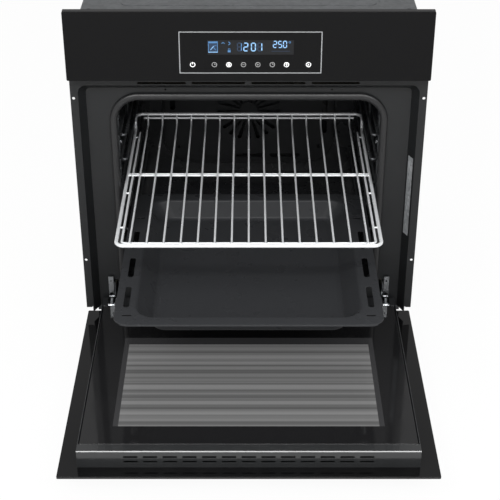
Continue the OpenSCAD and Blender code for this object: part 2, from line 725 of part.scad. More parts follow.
module door_inner_glass() color("#101112") hung_open()
    front_slab(inner_face - glass_t, inner_face)
        translate([0, (inner_glass_bottom + cap_top - cap_h) / 2])
            round_rect(2 * box_x - 6, cap_top - cap_h - inner_glass_bottom - 0.6, 2);

// Side column of the door box: a channel that holds the hinge and carries the inner glass
module door_column() color("#17181a") difference() {
    union() {
        block(column_x, box_x, glass_back + 0.1, inner_face - glass_t - 0.1, recess_bottom, cap_top - cap_h - 0.3);
        block(box_x - 2, box_x, glass_back + 0.1, inner_face - 0.4, recess_bottom, cap_top - cap_h - 0.3);
        block(column_x, box_x, glass_back + 0.1, inner_face - 0.1, recess_bottom, inner_glass_bottom - 0.5);
    }
    block(column_x + 2, box_x - 2, glass_back - 1, inner_face - glass_t - 2.1, recess_bottom - 1, cap_top);
    block(hinge_x - 6.5, hinge_x + 6.5, 0, inner_face + 1, recess_bottom - 1, inner_glass_bottom + 4);
}
module left_door_column() hung_open() mirror([1, 0, 0]) door_column();
module right_door_column() hung_open() door_column();

module cap_outline() {
    translate([(glass_back + inner_face) / 2 + 0.05, cap_top - cap_h / 2])
        round_rect(inner_face - glass_back - 0.1, cap_h, 2.5);
    translate([glass_back + 0.1, cap_top - cap_h]) square([inner_face - glass_back - 0.1, 8]);
    translate([glass_back + 0.1, cap_top - cap_h]) square([8, cap_h]);
}
// Ventilated cap along the top of the door box
module door_top_cap() color("#17181a") hung_open() difference() {
    side_slab(-box_x, box_x) cap_outline();
    block(-box_x + 2, box_x - 2, glass_back - 1, inner_face - 2.5, cap_top - cap_h - 1, cap_top - 2);
    for (i = [0 : vent_count - 1], y = [1.9, -7.6])
        flat_slab(cap_top - 4, cap_top + 1)
            translate([(i - (vent_count - 1) / 2) * vent_pitch, y]) round_rect(22.2, 3.5, 1.2);
}

module door_bottom_rail() color("#17181a") hung_open() difference() {
    block(-column_x + 0.2, column_x - 0.2, glass_back + 0.1, inner_face - 0.1, recess_bottom, inner_glass_bottom - 0.5);
    block(-column_x + 2, column_x - 2, glass_back - 1, inner_face - 2, recess_bottom + 2, inner_glass_bottom + 1);
}

module door_handle() color("#17181a") hung_open() {
    rod_x(-250, 250, face_y - handle_out, handle_z, handle_d);
    both_sides() {
        translate([250, face_y - handle_out, handle_z]) sphere(d = handle_d);
        rod_y(face_y - handle_out, face_y, 200, handle_z, 11);
        rod_y(face_y - 0.01, glass_back + 2.5, 200, handle_z, 5.6);
        rod_y(glass_back, glass_back + 2.5, 200, handle_z, 12);
    }
}

// Channel of each door hinge, with the seat that its spring pushes on
module hinge_channels() color("#b7babc") hung_open() both_sides() difference() {
    block(hinge_x - 8, hinge_x + 8, -17, inner_face - glass_t - 2.4, recess_bottom + 1, 168);
    block(hinge_x - 6.5, hinge_x + 6.5, -15.5, inner_face, recess_bottom, 58);
    block(hinge_x - 6.5, hinge_x + 6.5, -15.5, inner_face, 60, 170);
    rod_x(hinge_x - 9, hinge_x + 9, hinge_y, hinge_z, 8.3);
    rod_z(50, 70, hinge_x, slider_y, 5.6);
}

slider_y = -5;
plate_z = 106;
// Rod and plate that the door pulls against the spring as it opens, drawn for +X
module hinge_slider() color("#c6c9cb") hung_open() {
    rod_z(46, plate_z + 26, hinge_x, slider_y, 5);
    block(hinge_x - 6, hinge_x + 6, slider_y - 8, slider_y + 8, plate_z, plate_z + 2);
}
module left_hinge_slider() mirror([1, 0, 0]) hinge_slider();
module right_hinge_slider() hinge_slider();

// A round wire wound into a coil along Z, as rings of points joined by triangles
module coil(r, wire, turns, length) {
    sides = 6;
    steps = 14 * turns;
    points = [for (k = [0 : steps], s = [0 : sides - 1])
        let (a = 360 * turns * k / steps, b = 360 * s / sides, q = r + wire / 2 * cos(b))
        [q * cos(a), q * sin(a), wire / 2 + (length - wire) * k / steps + wire / 2 * sin(b)]];
    skin = [for (k = [0 : steps - 1], s = [0 : sides - 1], half = [0, 1])
        let (a = k * sides + s, b = k * sides + (s + 1) % sides, c = a + sides, d = b + sides)
        half == 0 ? [a, b, d] : [a, d, c]];
    ends = [[for (s = [0 : sides - 1]) sides - 1 - s], [for (s = [0 : sides - 1]) steps * sides + s]];
    polyhedron(points, concat(skin, ends));
}

// Compression springs of both hinges
module hinge_springs() color("#8a8d90") hung_open() both_sides()
    translate([hinge_x, slider_y, 60.2]) coil(r = 4.6, wire = 2.4, turns = 7, length = plate_z - 60.4);

// ---------- shelves ----------

// Wire rack: a double frame wire, a raised back stop and the wires welded on top
module wire_rack() color("#cfd2d4") {
    side_x = rack_w / 2 - rack_wire_d / 2;
    front_y = rack_front + rack_wire_d / 2;
    back_y = rack_back - rack_wire_d / 2;
    bend = 14;
    rise = 11;
    stop_z = rack_z + 2 * rise;
    rise_y = back_y - bend - 2 * rise;
    inner = side_x - 9;
    thin = 4;
    bar = 2.8;
    wire = 3.4;
    wire_bend = 13;
    wire_z = rack_z + rack_wire_d / 2 + wire / 2 - 0.6;
    // Front bar, its corners, the two side bars and their rise to the back stop
    rod_x(-side_x + bend, side_x - bend, front_y, rack_z, rack_wire_d);
    rod_x(-side_x + bend, side_x - bend, back_y, stop_z, rack_wire_d);
    both_sides() {
        translate([side_x - bend, front_y + bend, rack_z]) flat_bend(bend, rack_wire_d, 270, 90);
        rod_y(front_y + bend, rise_y, side_x, rack_z, rack_wire_d);
        translate([side_x, rise_y, rack_z + rise]) rotate([90, 0, 90]) flat_bend(rise, rack_wire_d, 270, 90);
        translate([side_x, rise_y + 2 * rise, rack_z + rise]) rotate([90, 0, 90])
            flat_bend(rise, rack_wire_d, 90, 90);
        translate([side_x - bend, back_y - bend, stop_z]) flat_bend(bend, rack_wire_d, 0, 90);
    }
    // Second, thinner wire inside the frame, tied to the side bars
    rod_x(-inner + 7, inner - 7, front_y + 8, rack_z, thin);
    both_sides() {
        translate([inner - 7, front_y + 15, rack_z]) flat_bend(7, thin, 270, 90);
        rod_y(front_y + 15, rise_y, inner, rack_z, thin);
        for (y = [front_y + 60, front_y + 180, rise_y - 20]) rod_x(inner, side_x, y, rack_z, 3);
    }
    // Cross bars under the wires, and the lower bar of the back stop
    for (y = [front_y + 243, front_y + 249]) rod_x(-side_x, side_x, y, rack_z + 1.7, bar);
    rod_x(-side_x + bend, side_x - bend, back_y, stop_z - 8, thin);
    // Wires from front to back, turned up to the back stop
    for (i = [0 : rack_wires - 1]) {
        x = (i - (rack_wires - 1) / 2) * rack_pitch;
        rod_y(front_y, back_y - 3 - wire_bend, x, wire_z, wire);
        translate([x, back_y - 3 - wire_bend, wire_z + wire_bend]) rotate([90, 0, 90])
            flat_bend(wire_bend, wire, 270, 90);
        rod_z(wire_z + wire_bend, stop_z, x, back_y - 3, wire);
    }
}

// Basin of the tray as a solid with sloping sides and steep ends, shrunk by e
module basin(e, top) hull() {
    flat_slab(top - 0.01, top) translate([0, tray_mid]) round_rect(2 * (basin_x - e), basin_d - 2 * e, 34 - e);
    flat_slab(tray_z - tray_deep + e, tray_z - tray_deep + e + 0.01) translate([0, tray_mid])
        round_rect(2 * (floor_x - e), basin_d - 2 * basin_end - 2 * e, 18 - e);
}
module baking_tray() color("#202123") difference() {
    union() {
        flat_slab(tray_z - tray_t, tray_z) translate([0, tray_mid]) round_rect(tray_w, tray_d, rim_r);
        // Lip along the front, short of the shelf rails at both sides
        flat_slab(tray_z - tray_lip, tray_z) translate([0, tray_mid]) intersection() {
            difference() {
                round_rect(tray_w, tray_d, rim_r);
                round_rect(tray_w - 2 * tray_t, tray_d - 2 * tray_t, rim_r - 1);
            }
            translate([-lip_x, -tray_d / 2]) square([2 * lip_x, rim_r]);
        }
        basin(0, tray_z);
    }
    basin(tray_t, tray_z + 0.1);
    both_sides() {
        for (y = slot_y) flat_slab(tray_z - 3, tray_z + 1) translate([200, tray_mid + y]) round_rect(10, 64, 4.9);
        for (y = [tray_front + 28, tray_back - 92]) flat_slab(tray_z - 3, tray_z + 1)
            translate([197, y]) round_rect(16, 5, 2.4);
    }
}

front_frame();
cavity_muffle();
door_seal();
base_plate();
left_side_panel();
right_side_panel();
top_cover();
rear_cover();
control_panel_glass();
panel_carrier();
panel_bracket();
display_trim();
display_module();
touch_board();
air_divider();
air_guide();
blower_housing();
blower_motor();
blower_wheel();
power_board();
terminal_block();
thermal_cutout();
insulation_wrap();
insulation_rear();
grill_element();
bottom_element();
ring_element();
fan_baffle();
fan_motor();
fan_wheel();
lamp_housing();
lamp_bulb();
lamp_glass();
temperature_probe();
left_side_grid();
right_side_grid();
grid_studs();
left_hinge_receiver();
right_hinge_receiver();
left_hinge_arm();
right_hinge_arm();
hinge_pins();
left_lock_clip();
right_lock_clip();
rating_label();
casing_screws();
door_outer_glass();
door_middle_glass();
door_inner_glass();
left_door_column();
right_door_column();
door_top_cap();
door_bottom_rail();
door_handle();
hinge_channels();
left_hinge_slider();
right_hinge_slider();
hinge_springs();
wire_rack();
baking_tray();
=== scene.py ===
"""Wall oven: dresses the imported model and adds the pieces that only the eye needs."""

from __future__ import annotations

import logging
import math
from collections.abc import Callable, Iterable, Sequence
from dataclasses import dataclass, field
from enum import Enum

import bpy
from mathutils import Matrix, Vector

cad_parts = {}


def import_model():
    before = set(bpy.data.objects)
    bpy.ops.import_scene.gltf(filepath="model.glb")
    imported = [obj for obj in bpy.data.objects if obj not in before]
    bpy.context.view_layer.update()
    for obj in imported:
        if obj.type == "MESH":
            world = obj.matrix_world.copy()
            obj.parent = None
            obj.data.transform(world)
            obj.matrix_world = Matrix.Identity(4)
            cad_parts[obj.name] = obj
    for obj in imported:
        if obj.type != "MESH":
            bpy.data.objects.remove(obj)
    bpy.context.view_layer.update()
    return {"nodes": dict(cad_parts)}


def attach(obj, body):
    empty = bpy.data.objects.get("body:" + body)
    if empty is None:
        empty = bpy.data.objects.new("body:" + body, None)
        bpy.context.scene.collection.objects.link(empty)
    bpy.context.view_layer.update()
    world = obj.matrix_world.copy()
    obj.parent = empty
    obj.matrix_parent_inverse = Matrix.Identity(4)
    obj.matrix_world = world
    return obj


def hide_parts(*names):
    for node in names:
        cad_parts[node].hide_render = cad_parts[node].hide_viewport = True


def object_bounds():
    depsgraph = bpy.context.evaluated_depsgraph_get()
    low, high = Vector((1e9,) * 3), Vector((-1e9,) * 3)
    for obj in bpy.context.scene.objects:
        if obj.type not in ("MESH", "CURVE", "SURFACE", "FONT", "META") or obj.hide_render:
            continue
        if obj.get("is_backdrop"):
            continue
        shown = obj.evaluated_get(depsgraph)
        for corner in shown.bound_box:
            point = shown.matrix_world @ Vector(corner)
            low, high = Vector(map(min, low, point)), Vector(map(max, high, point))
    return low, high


LOG = logging.getLogger("wall_oven")
MM = 0.001
WEAR_MM = 45
Piece = bpy.types.Object
Tree = bpy.types.NodeTree
Socket = bpy.types.NodeSocket
Numbers = Sequence[float]


# ---- finishes


def linear(hex_colour: str, alpha: float = 1.0) -> tuple[float, float, float, float]:
    """Turns an sRGB hex colour into Blender's linear colour.

    Args:
        hex_colour: Six hex digits after a hash sign.
        alpha: Opacity from 0 to 1.

    Returns:
        Linear red, green, blue and alpha.
    """
    channels = [int(hex_colour[i : i + 2], 16) / 255 for i in (1, 3, 5)]
    curve = [c / 12.92 if c <= 0.04045 else ((c + 0.055) / 1.055) ** 2.4 for c in channels]
    return curve[0], curve[1], curve[2], alpha


def add_node(tree: Tree, kind: str, inputs: dict | None = None, **settings: object) -> bpy.types.Node:
    """Adds one node, with its settings and its inputs set or linked.

    Args:
        tree: Node tree that the node goes into.
        kind: Blender's name of the node type.
        inputs: Input name or index, and a value to set or a socket to link.
        settings: Properties of the node itself.

    Returns:
        The new node.
    """
    node = tree.nodes.new(kind)
    for name, value in settings.items():
        setattr(node, name, value)
    for name, value in (inputs or {}).items():
        if isinstance(value, Socket):
            tree.links.new(value, node.inputs[name])
        else:
            node.inputs[name].default_value = value
    return node


WHITE = linear("#ffffff")


class Grain(Enum):
    """How a surface was made, which decides its fine pattern."""

    POLISHED = "polished, with faint wiping marks"
    ORANGE_PEEL = "sprayed or fired, with shallow waves"
    SPECKLED = "fired enamel with pale flecks"
    BRUSHED = "drawn or brushed along one axis"
    SPANGLED = "hot dipped zinc with crystals"
    MOULDED = "moulded plastic with a fine grit"
    FIBRED = "pressed mineral fibre"
    BANDED = "fine printed lines that gather into soft bands"


@dataclass(frozen=True)
class Finish:
    """One finish: a base material and the pattern that its making left; a few also carry painted light or
    shade.

    Attributes:
        name: Name of the material in a maker's words.
        colour: Main sRGB colour.
        second: Second sRGB colour, of flecks, crystals or lines.
        roughness: Mean roughness of the surface.
        grain: How the surface was made.
        grain_mm: Size of one feature of the pattern.
        relief_mm: Height of the pattern, 0 for none.
        wear: How far the roughness strays from its mean.
        metallic: 1 for a bare metal.
        ior: Index of refraction.
        coat: Strength of a clear layer on top.
        mirror: Strength of the mirror-like share, 0.5 for an uncoated surface.
        transmission: 1 for clear glass.
        glow: Strength of the light that the surface gives off.
    """

    name: str
    colour: str
    second: str
    roughness: float
    grain: Grain = Grain.POLISHED
    grain_mm: float = 60
    relief_mm: float = 0.0
    wear: float = 0.05
    metallic: float = 0.0
    ior: float = 1.5
    coat: float = 0.0
    mirror: float = 0.5
    transmission: float = 0.0
    glow: float = 0.0

    def build(self) -> bpy.types.Material:
        """Makes the material, or returns it if it is there already."""
        found = bpy.data.materials.get(self.name)
        if found:
            return found
        material = bpy.data.materials.new(self.name)
        material.use_nodes = True
        tree = material.node_tree
        tree.nodes.clear()
        place = add_node(tree, "ShaderNodeTexCoord").outputs["Object"]
        pattern = self._pattern(tree, place)
        inputs = {
            "Base Color": self._colour(tree, pattern),
            "Roughness": self._roughness(tree, place),
            "Metallic": self.metallic,
            "Coat Weight": self.coat,
            "Specular IOR Level": self.mirror,
            "Transmission Weight": self.transmission,
        }
        if not self.metallic:
            inputs["IOR"] = self.ior
        if self.relief_mm:
            inputs["Normal"] = self._bump(tree, pattern)
        if self.glow:
            inputs["Emission Color"] = inputs["Base Color"]
            inputs["Emission Strength"] = self.glow
        shader = add_node(tree, "ShaderNodeBsdfPrincipled", inputs)
        add_node(tree, "ShaderNodeOutputMaterial", {"Surface": shader.outputs["BSDF"]})
        return material

    def _scaled(self, tree: Tree, place: Socket, size: Numbers):
        """Object coordinates counted in features of the given size in millimetres."""
        scale = [1 / (s * MM) for s in size]
        return add_node(tree, "ShaderNodeMapping", {"Vector": place, "Scale": scale}).outputs["Vector"]

    def _pattern(self, tree: Tree, place: Socket) -> Socket:
        """Makes the fine pattern of the surface.

        Args:
            tree: Node tree of the material.
            place: Object coordinates.

        Returns:
            A value from 0 to 1 that follows the pattern.
        """
        if self.grain is Grain.BANDED:
            return self._bands(tree, place)
        size = self.grain_mm
        stretch = {Grain.BRUSHED: 60, Grain.FIBRED: 6}.get(self.grain, 1)
        spread = self._scaled(tree, place, (size * stretch, size, size))
        if self.grain in (Grain.SPANGLED, Grain.SPECKLED):
            crystals = {"Vector": spread, "Scale": 1, "Randomness": 1}
            cells = add_node(tree, "ShaderNodeTexVoronoi", crystals).outputs
            if self.grain is Grain.SPANGLED:
                return add_node(tree, "ShaderNodeSeparateColor", {"Color": cells["Color"]}).outputs["Red"]
            fleck = {"Value": cells["Distance"], "From Min": 0.12, "From Max": 0.2, "To Min": 1, "To Max": 0}
            return add_node(tree, "ShaderNodeMapRange", fleck).outputs["Result"]
        detail = {Grain.BRUSHED: 3, Grain.MOULDED: 2, Grain.FIBRED: 8}.get(self.grain, 1)
        noise = {"Vector": spread, "Scale": 1, "Detail": detail}
        return add_node(tree, "ShaderNodeTexNoise", noise).outputs["Fac"]

    def _bands(self, tree: Tree, place: Socket) -> Socket:
        """Soft bands along X where two fine line prints, one on each pane, beat against each other."""
        along = add_node(tree, "ShaderNodeSeparateXYZ", {"Vector": place}).outputs["Y"]
        layers = {"Factor": 0.3}
        for name, size in (("A", self.grain_mm), ("B", self.grain_mm / 3.2)):
            layer = {"W": along, "Scale": 1 / (size * MM), "Detail": 0}
            layers[name] = add_node(tree, "ShaderNodeTexNoise", layer, noise_dimensions="1D").outputs["Fac"]
        mixed = add_node(tree, "ShaderNodeMix", layers, data_type="FLOAT")
        spread = {"Value": mixed.outputs[0], "From Min": 0.3, "From Max": 0.7}
        return add_node(tree, "ShaderNodeMapRange", spread).outputs["Result"]

    def _colour(self, tree: Tree, pattern: Socket):
        """The base colour: one colour on the socket itself, or two mixed by the pattern."""
        if self.colour == self.second:
            return linear(self.colour)
        both = {"Factor": pattern, "A": linear(self.colour), "B": linear(self.second)}
        return add_node(tree, "ShaderNodeMix", both, data_type="RGBA").outputs["Result"]

    def _roughness(self, tree: Tree, place: Socket):
        """Roughness that strays a little round its mean, as handling and wiping leave it."""
        if not self.wear:
            return self.roughness
        spread = self._scaled(tree, place, [WEAR_MM] * 3)
        cloud = add_node(tree, "ShaderNodeTexNoise", {"Vector": spread, "Scale": 1, "Detail": 4})
        stray = {
            "Value": cloud.outputs["Fac"],
            "From Min": 0.3,
            "From Max": 0.7,
            "To Min": max(0.02, self.roughness - self.wear),
            "To Max": min(1.0, self.roughness + self.wear),
        }
        return add_node(tree, "ShaderNodeMapRange", stray).outputs["Result"]

    def _bump(self, tree: Tree, pattern: Socket) -> Socket:
        """The normal that the pattern's relief gives."""
        relief = {"Height": pattern, "Strength": 1.0, "Distance": self.relief_mm * MM}
        return add_node(tree, "ShaderNodeBump", relief).outputs["Normal"]


# Float glass printed black on its back: deep black, mirror sharp, a trace of wiping marks
PRINTED_GLASS = Finish("printed_black_glass", "#0c0c0d", "#0c0c0d", 0.07, wear=0.03, mirror=0.38)
# The fixed pane carries a smoke tint under its face, so it mirrors less than the door
PANEL_GLASS = Finish("smoked_panel_glass", "#0b0b0c", "#0b0b0c", 0.06, wear=0.02, mirror=0.14)
# Neutral film over the screen, a little paler than the glass round it
SCREEN_FILM = Finish("screen_film", "#1c1d1f", "#1c1d1f", 0.12, wear=0.03, mirror=0.2)
# The inner pane's black print, a little greyer than that of the outer pane
INNER_PRINT = Finish("inner_pane_print", "#19191a", "#19191a", 0.08, wear=0.03, ior=1.52)
# Lit, dim and unlit bars of the blue screen
LIT_SEGMENT = Finish("lit_blue_segment", "#84b0da", "#84b0da", 0.4, wear=0.0, glow=0.42)
DIM_SEGMENT = Finish("dim_blue_segment", "#44709d", "#44709d", 0.4, wear=0.0, glow=0.3)
GHOST_SEGMENT = Finish("unlit_blue_segment", "#182c44", "#182c44", 0.4, wear=0.0, glow=0.3)
# White key signs, screen printed and lit from behind
BRIGHT_INK = Finish("bright_white_key_ink", "#f2f2f2", "#f2f2f2", 0.5, wear=0.0, glow=0.55)
DIM_INK = Finish("dim_white_key_ink", "#8c8c8c", "#8c8c8c", 0.5, wear=0.0, glow=0.3)
# Grey line print of the window, drawn as soft bands 14 mm deep so that it shows; its glow is painted light
# that keeps the window evenly bright under the tray's shadow
WINDOW_PRINT_PAINTED_LIGHT = Finish(
    "banded_window_print_painted_light", "#393939", "#555555", 0.14, Grain.BANDED, 14, wear=0.03, glow=1.2
)
# Thin grey frame printed round the window; its glow is painted light that lifts it out of the tray's shadow
FRAME_PRINT_PAINTED_LIGHT = Finish("window_frame_print_painted_light", "#2a2a2b", "#2a2a2b", 0.1, wear=0.03, glow=0.5)
# Gloss lacquer on the cap: satin black, finely pebbled
CAP_COAT = Finish("black_cap_lacquer", "#262728", "#2a2b2c", 0.2, Grain.ORANGE_PEEL, 1.0, 0.003, coat=0.5)
# Pressed steel under black vitreous enamel: satin black with the shallow waves of firing
FRAME_ENAMEL = Finish(
    "black_frame_enamel", "#1a1b1c", "#1f2021", 0.36, Grain.ORANGE_PEEL, 2.2, 0.01, mirror=0.34
)
# Glossy cavity enamel: near black with pale flecks, drawn coarse enough to show
CAVITY_ENAMEL = Finish(
    "flecked_cavity_enamel", "#242527", "#383a3d", 0.26, Grain.SPECKLED, 4.0, 0.004, coat=0.15
)
# The fan plate at the back: the same enamel, fired satin
BAFFLE_ENAMEL = Finish(
    "satin_baffle_enamel", "#262728", "#2e2f31", 0.4, Grain.ORANGE_PEEL, 2.0, 0.006, mirror=0.3
)
# Tray enamel: smooth and dark, gloss like the cavity's with finer waves
TRAY_ENAMEL = Finish("tray_enamel", "#2e2f31", "#333436", 0.3, Grain.ORANGE_PEEL, 1.6, 0.006, mirror=0.16)
# Zinc coated sheet: pale grey crystals of slightly different brightness
ZINC_SHEET = Finish("zinc_coated_sheet", "#747678", "#7f8183", 0.45, Grain.SPANGLED, 7, metallic=1.0)
# Satin nickel plated wire of the rack: the plating is real, and a pale diffuse share under the metal is
# painted sheen that stands in for the reflections which make it bright from every side
NICKEL_WIRE_PAINTED_SHEEN = Finish(
    "satin_nickel_wire_painted_sheen", "#e2e4e6", "#f2f4f6", 0.24, Grain.BRUSHED, 0.4, 0.0, 0.04, metallic=0.35
)
# The same plating on the side grids, painted far darker than the rack's: painted shade of the cavity's sides,
# where the grids stand
GRID_WIRE_PAINTED_SHADE = Finish(
    "grid_wire_painted_shade", "#4c4e50", "#606264", 0.3, Grain.BRUSHED, 0.4, 0.0, 0.04, metallic=0.7
)
# Extruded silicone: dark, soft sheen
SILICONE = Finish("silicone_seal", "#1a1a1b", "#202021", 0.38, Grain.MOULDED, 1.2, 0.01)
# Bright zinc plated steel of the hinges: rolled grain along X
HINGE_STEEL = Finish(
    "zinc_plated_hinge_steel", "#b7babd", "#d3d6d9", 0.28, Grain.BRUSHED, 0.5, 0.004, metallic=1.0
)
# Spring wire, oiled dark
SPRING_STEEL = Finish(
    "oiled_spring_wire", "#55585b", "#6a6d70", 0.35, Grain.BRUSHED, 0.4, 0.002, metallic=1.0
)
# Tubular heater: steel darkened by heat
HEATER_TUBE = Finish(
    "heat_darkened_tube", "#3a3633", "#4e4a46", 0.5, Grain.ORANGE_PEEL, 5, 0.01, metallic=1.0
)
# Moulded ABS, matt black with a spark-eroded grit
BLACK_ABS = Finish("moulded_black_abs", "#151516", "#1a1a1b", 0.48, Grain.MOULDED, 0.8, 0.02)
# Powder coat on the door's sheet steel: satin black, finely pebbled
POWDER_COAT = Finish("black_powder_coat", "#17181a", "#1d1e20", 0.36, Grain.ORANGE_PEEL, 1.0, 0.015, coat=0.1)
# Anodised aluminium strip, brushed along the panel
ANODISED = Finish("anodised_aluminium", "#a9abad", "#c4c6c8", 0.3, Grain.BRUSHED, 0.3, 0.002, metallic=1.0)
# Pressed aluminium of the fan wheels, painted dark: painted shade behind the baffle, so that its slots read
# dark
PRESSED_ALUMINIUM_PAINTED_SHADE = Finish(
    "pressed_aluminium_painted_shade", "#36383a", "#424446", 0.36, Grain.BRUSHED, 0.8, 0.004, metallic=0.8
)
# Varnished laminated core of a motor
MOTOR_CORE = Finish(
    "varnished_motor_core", "#5d6062", "#73777a", 0.45, Grain.BRUSHED, 0.9, 0.02, metallic=0.6
)
# Clear glass of the door's middle pane and of the lamp
CLEAR_GLASS = Finish("clear_float_glass", "#e6efec", "#e6efec", 0.02, wear=0.01, transmission=1.0)
# Epoxy circuit board, green with paler tracks
EPOXY_BOARD = Finish("epoxy_circuit_board", "#1f4a2e", "#3d6b46", 0.4, Grain.SPANGLED, 3)
# Cream moulded insulator
CREAM_PLASTIC = Finish("cream_insulator", "#cfcab8", "#d9d5c6", 0.45, Grain.MOULDED, 1.0, 0.01)
# Pressed mineral wool, coarse pale fibres
MINERAL_WOOL = Finish("mineral_wool", "#b9ad8b", "#d6ccb0", 0.95, Grain.FIBRED, 2.0, 0.8, ior=1.45)
# Unglazed lamp holder
LAMP_CERAMIC = Finish("unglazed_ceramic", "#c9c6bd", "#d6d3cb", 0.7, Grain.MOULDED, 0.7, 0.01, ior=1.55)
# Frosted bulb
FROSTED_BULB = Finish("frosted_bulb", "#e8e2cf", "#f1ecdd", 0.55, Grain.MOULDED, 2.0)
# Foil plate with no print, crinkled a little
FOIL_PLATE = Finish("blank_foil_plate", "#8c8f91", "#b4b7b9", 0.42, Grain.SPANGLED, 5, 0.05, metallic=0.35)
# Blackened screws
BLACK_SCREW = Finish(
    "blackened_screw_steel", "#1a1b1c", "#242526", 0.4, Grain.BRUSHED, 0.5, 0.004, metallic=0.8
)

NODE_FINISHES: dict[Finish, tuple[str, ...]] = {
    PRINTED_GLASS: ("control_panel_glass", "door_outer_glass"),
    INNER_PRINT: ("door_inner_glass",),
    FRAME_ENAMEL: ("front_frame",),
    CAVITY_ENAMEL: ("cavity_muffle",),
    BAFFLE_ENAMEL: ("fan_baffle",),
    TRAY_ENAMEL: ("baking_tray",),
    ZINC_SHEET: (
        "base_plate", "left_side_panel", "right_side_panel", "top_cover", "rear_cover", "panel_bracket",
        "air_divider", "air_guide", "blower_housing",
    ),
    # Rack wire: nickel plating with painted sheen in its pale diffuse share
    NICKEL_WIRE_PAINTED_SHEEN: ("wire_rack",),
    # Side grids: the rack's plating, darkened as painted shade
    GRID_WIRE_PAINTED_SHADE: ("left_side_grid", "right_side_grid"),
    BLACK_SCREW: ("casing_screws",),
    SILICONE: ("door_seal",),
    HINGE_STEEL: (
        "left_hinge_receiver", "right_hinge_receiver", "left_hinge_arm", "right_hinge_arm", "hinge_pins",
        "left_lock_clip", "right_lock_clip", "hinge_channels", "left_hinge_slider", "right_hinge_slider",
        "grid_studs", "temperature_probe",
    ),
    SPRING_STEEL: ("hinge_springs",),
    HEATER_TUBE: ("grill_element", "bottom_element", "ring_element"),
    BLACK_ABS: ("panel_carrier", "display_module", "thermal_cutout"),
    POWDER_COAT: ("left_door_column", "right_door_column", "door_top_cap", "door_bottom_rail", "door_handle"),
    ANODISED: ("display_trim",),
    # Fan wheels darkened as painted shade behind the baffle
    PRESSED_ALUMINIUM_PAINTED_SHADE: ("blower_wheel", "fan_wheel"),
    MOTOR_CORE: ("blower_motor", "fan_motor"),
    CLEAR_GLASS: ("door_middle_glass", "lamp_glass"),
    EPOXY_BOARD: ("power_board", "touch_board"),
    CREAM_PLASTIC: ("terminal_block",),
    MINERAL_WOOL: ("insulation_wrap", "insulation_rear"),
    LAMP_CERAMIC: ("lamp_housing",),
    FROSTED_BULB: ("lamp_bulb",),
    FOIL_PLATE: ("rating_label",),
}


def dress_nodes(nodes: dict[str, Piece]) -> None:
    """Gives every carried-over node its finish.

    Args:
        nodes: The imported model's nodes by name.
    """
    for finish, names in NODE_FINISHES.items():
        for name in names:
            mesh = nodes[name].data
            mesh.materials.clear()
            mesh.materials.append(finish.build())
            LOG.info("dressed %s as %s", name, finish.name)


# ---- workshop


class Part(Enum):
    """What an edit-mode operator acts on."""

    VERTEX = "VERT"
    EDGE = "EDGE"
    FACE = "FACE"


Chooser = Callable[[list[Vector]], bool]


def deselect_everything() -> None:
    """Leaves edit mode and deselects every object."""
    if bpy.context.object and bpy.context.object.mode != "OBJECT":
        bpy.ops.object.mode_set(mode="OBJECT")
    bpy.ops.object.select_all(action="DESELECT")


def take(piece: Piece) -> None:
    """Makes one piece the only selected and active one."""
    deselect_everything()
    piece.select_set(True)
    bpy.context.view_layer.objects.active = piece


def settle(piece: Piece) -> Piece:
    """Moves a piece's place into its mesh and leaves its object at the origin."""
    take(piece)
    bpy.ops.object.transform_apply(location=True, rotation=True, scale=True)
    return piece


def block(name: str, low: Numbers, high: Numbers) -> Piece:
    """Adds a block between two corners.

    Args:
        name: Name of the piece.
        low: Lowest corner in millimetres.
        high: Highest corner in millimetres.

    Returns:
        The block, at the origin.
    """
    deselect_everything()
    middle = [(a + b) / 2 * MM for a, b in zip(low, high)]
    size = [(b - a) * MM for a, b in zip(low, high)]
    bpy.ops.mesh.primitive_cube_add(size=1, location=middle, scale=size)
    piece = bpy.context.object
    piece.name = name
    return settle(piece)


def disc(name: str, start: Numbers, length: float, radius: float, sides: int) -> Piece:
    """Adds a round disc whose axis runs along Y.

    Args:
        name: Name of the piece.
        start: Middle of its near end in millimetres.
        length: Its length in millimetres.
        radius: Its radius in millimetres.
        sides: Number of its sides.

    Returns:
        The disc, at the origin.
    """
    deselect_everything()
    middle = (Vector(start) + Vector((0, length / 2, 0))) * MM
    size = {"vertices": sides, "radius": radius * MM, "depth": length * MM}
    bpy.ops.mesh.primitive_cylinder_add(**size, location=middle, rotation=(math.pi / 2, 0, 0))
    piece = bpy.context.object
    piece.name = name
    return settle(piece)


def pick(piece: Piece, part: Part, chosen: Chooser) -> int:
    """Enters edit mode with only the chosen vertices, edges or faces selected.

    Args:
        piece: The piece to edit.
        part: What is chosen.
        chosen: Says yes or no from a part's corner points in millimetres.

    Returns:
        How many were chosen.
    """
    take(piece)
    bpy.ops.object.mode_set(mode="EDIT")
    bpy.ops.mesh.select_mode(type=part.value)
    bpy.ops.mesh.select_all(action="DESELECT")
    bpy.ops.object.mode_set(mode="OBJECT")
    mesh = piece.data
    group = {Part.VERTEX: mesh.vertices, Part.EDGE: mesh.edges, Part.FACE: mesh.polygons}[part]
    count = 0
    for element in group:
        indices = [element.index] if part is Part.VERTEX else element.vertices
        element.select = chosen([mesh.vertices[i].co / MM for i in indices])
        count += element.select
    bpy.ops.object.mode_set(mode="EDIT")
    return count


def edit(
    piece: Piece, part: Part, chosen: Chooser, operator: Callable[..., set], **settings: object
) -> Piece:
    """Runs one edit-mode operator on the chosen parts of a piece, if there are any.

    Args:
        piece: The piece to edit.
        part: What is chosen.
        chosen: Says yes or no from a part's corner points in millimetres.
        operator: The operator to run.
        settings: Its settings.

    Returns:
        The same piece.
    """
    if pick(piece, part, chosen):
        operator(**settings)
    bpy.ops.object.mode_set(mode="OBJECT")
    return piece


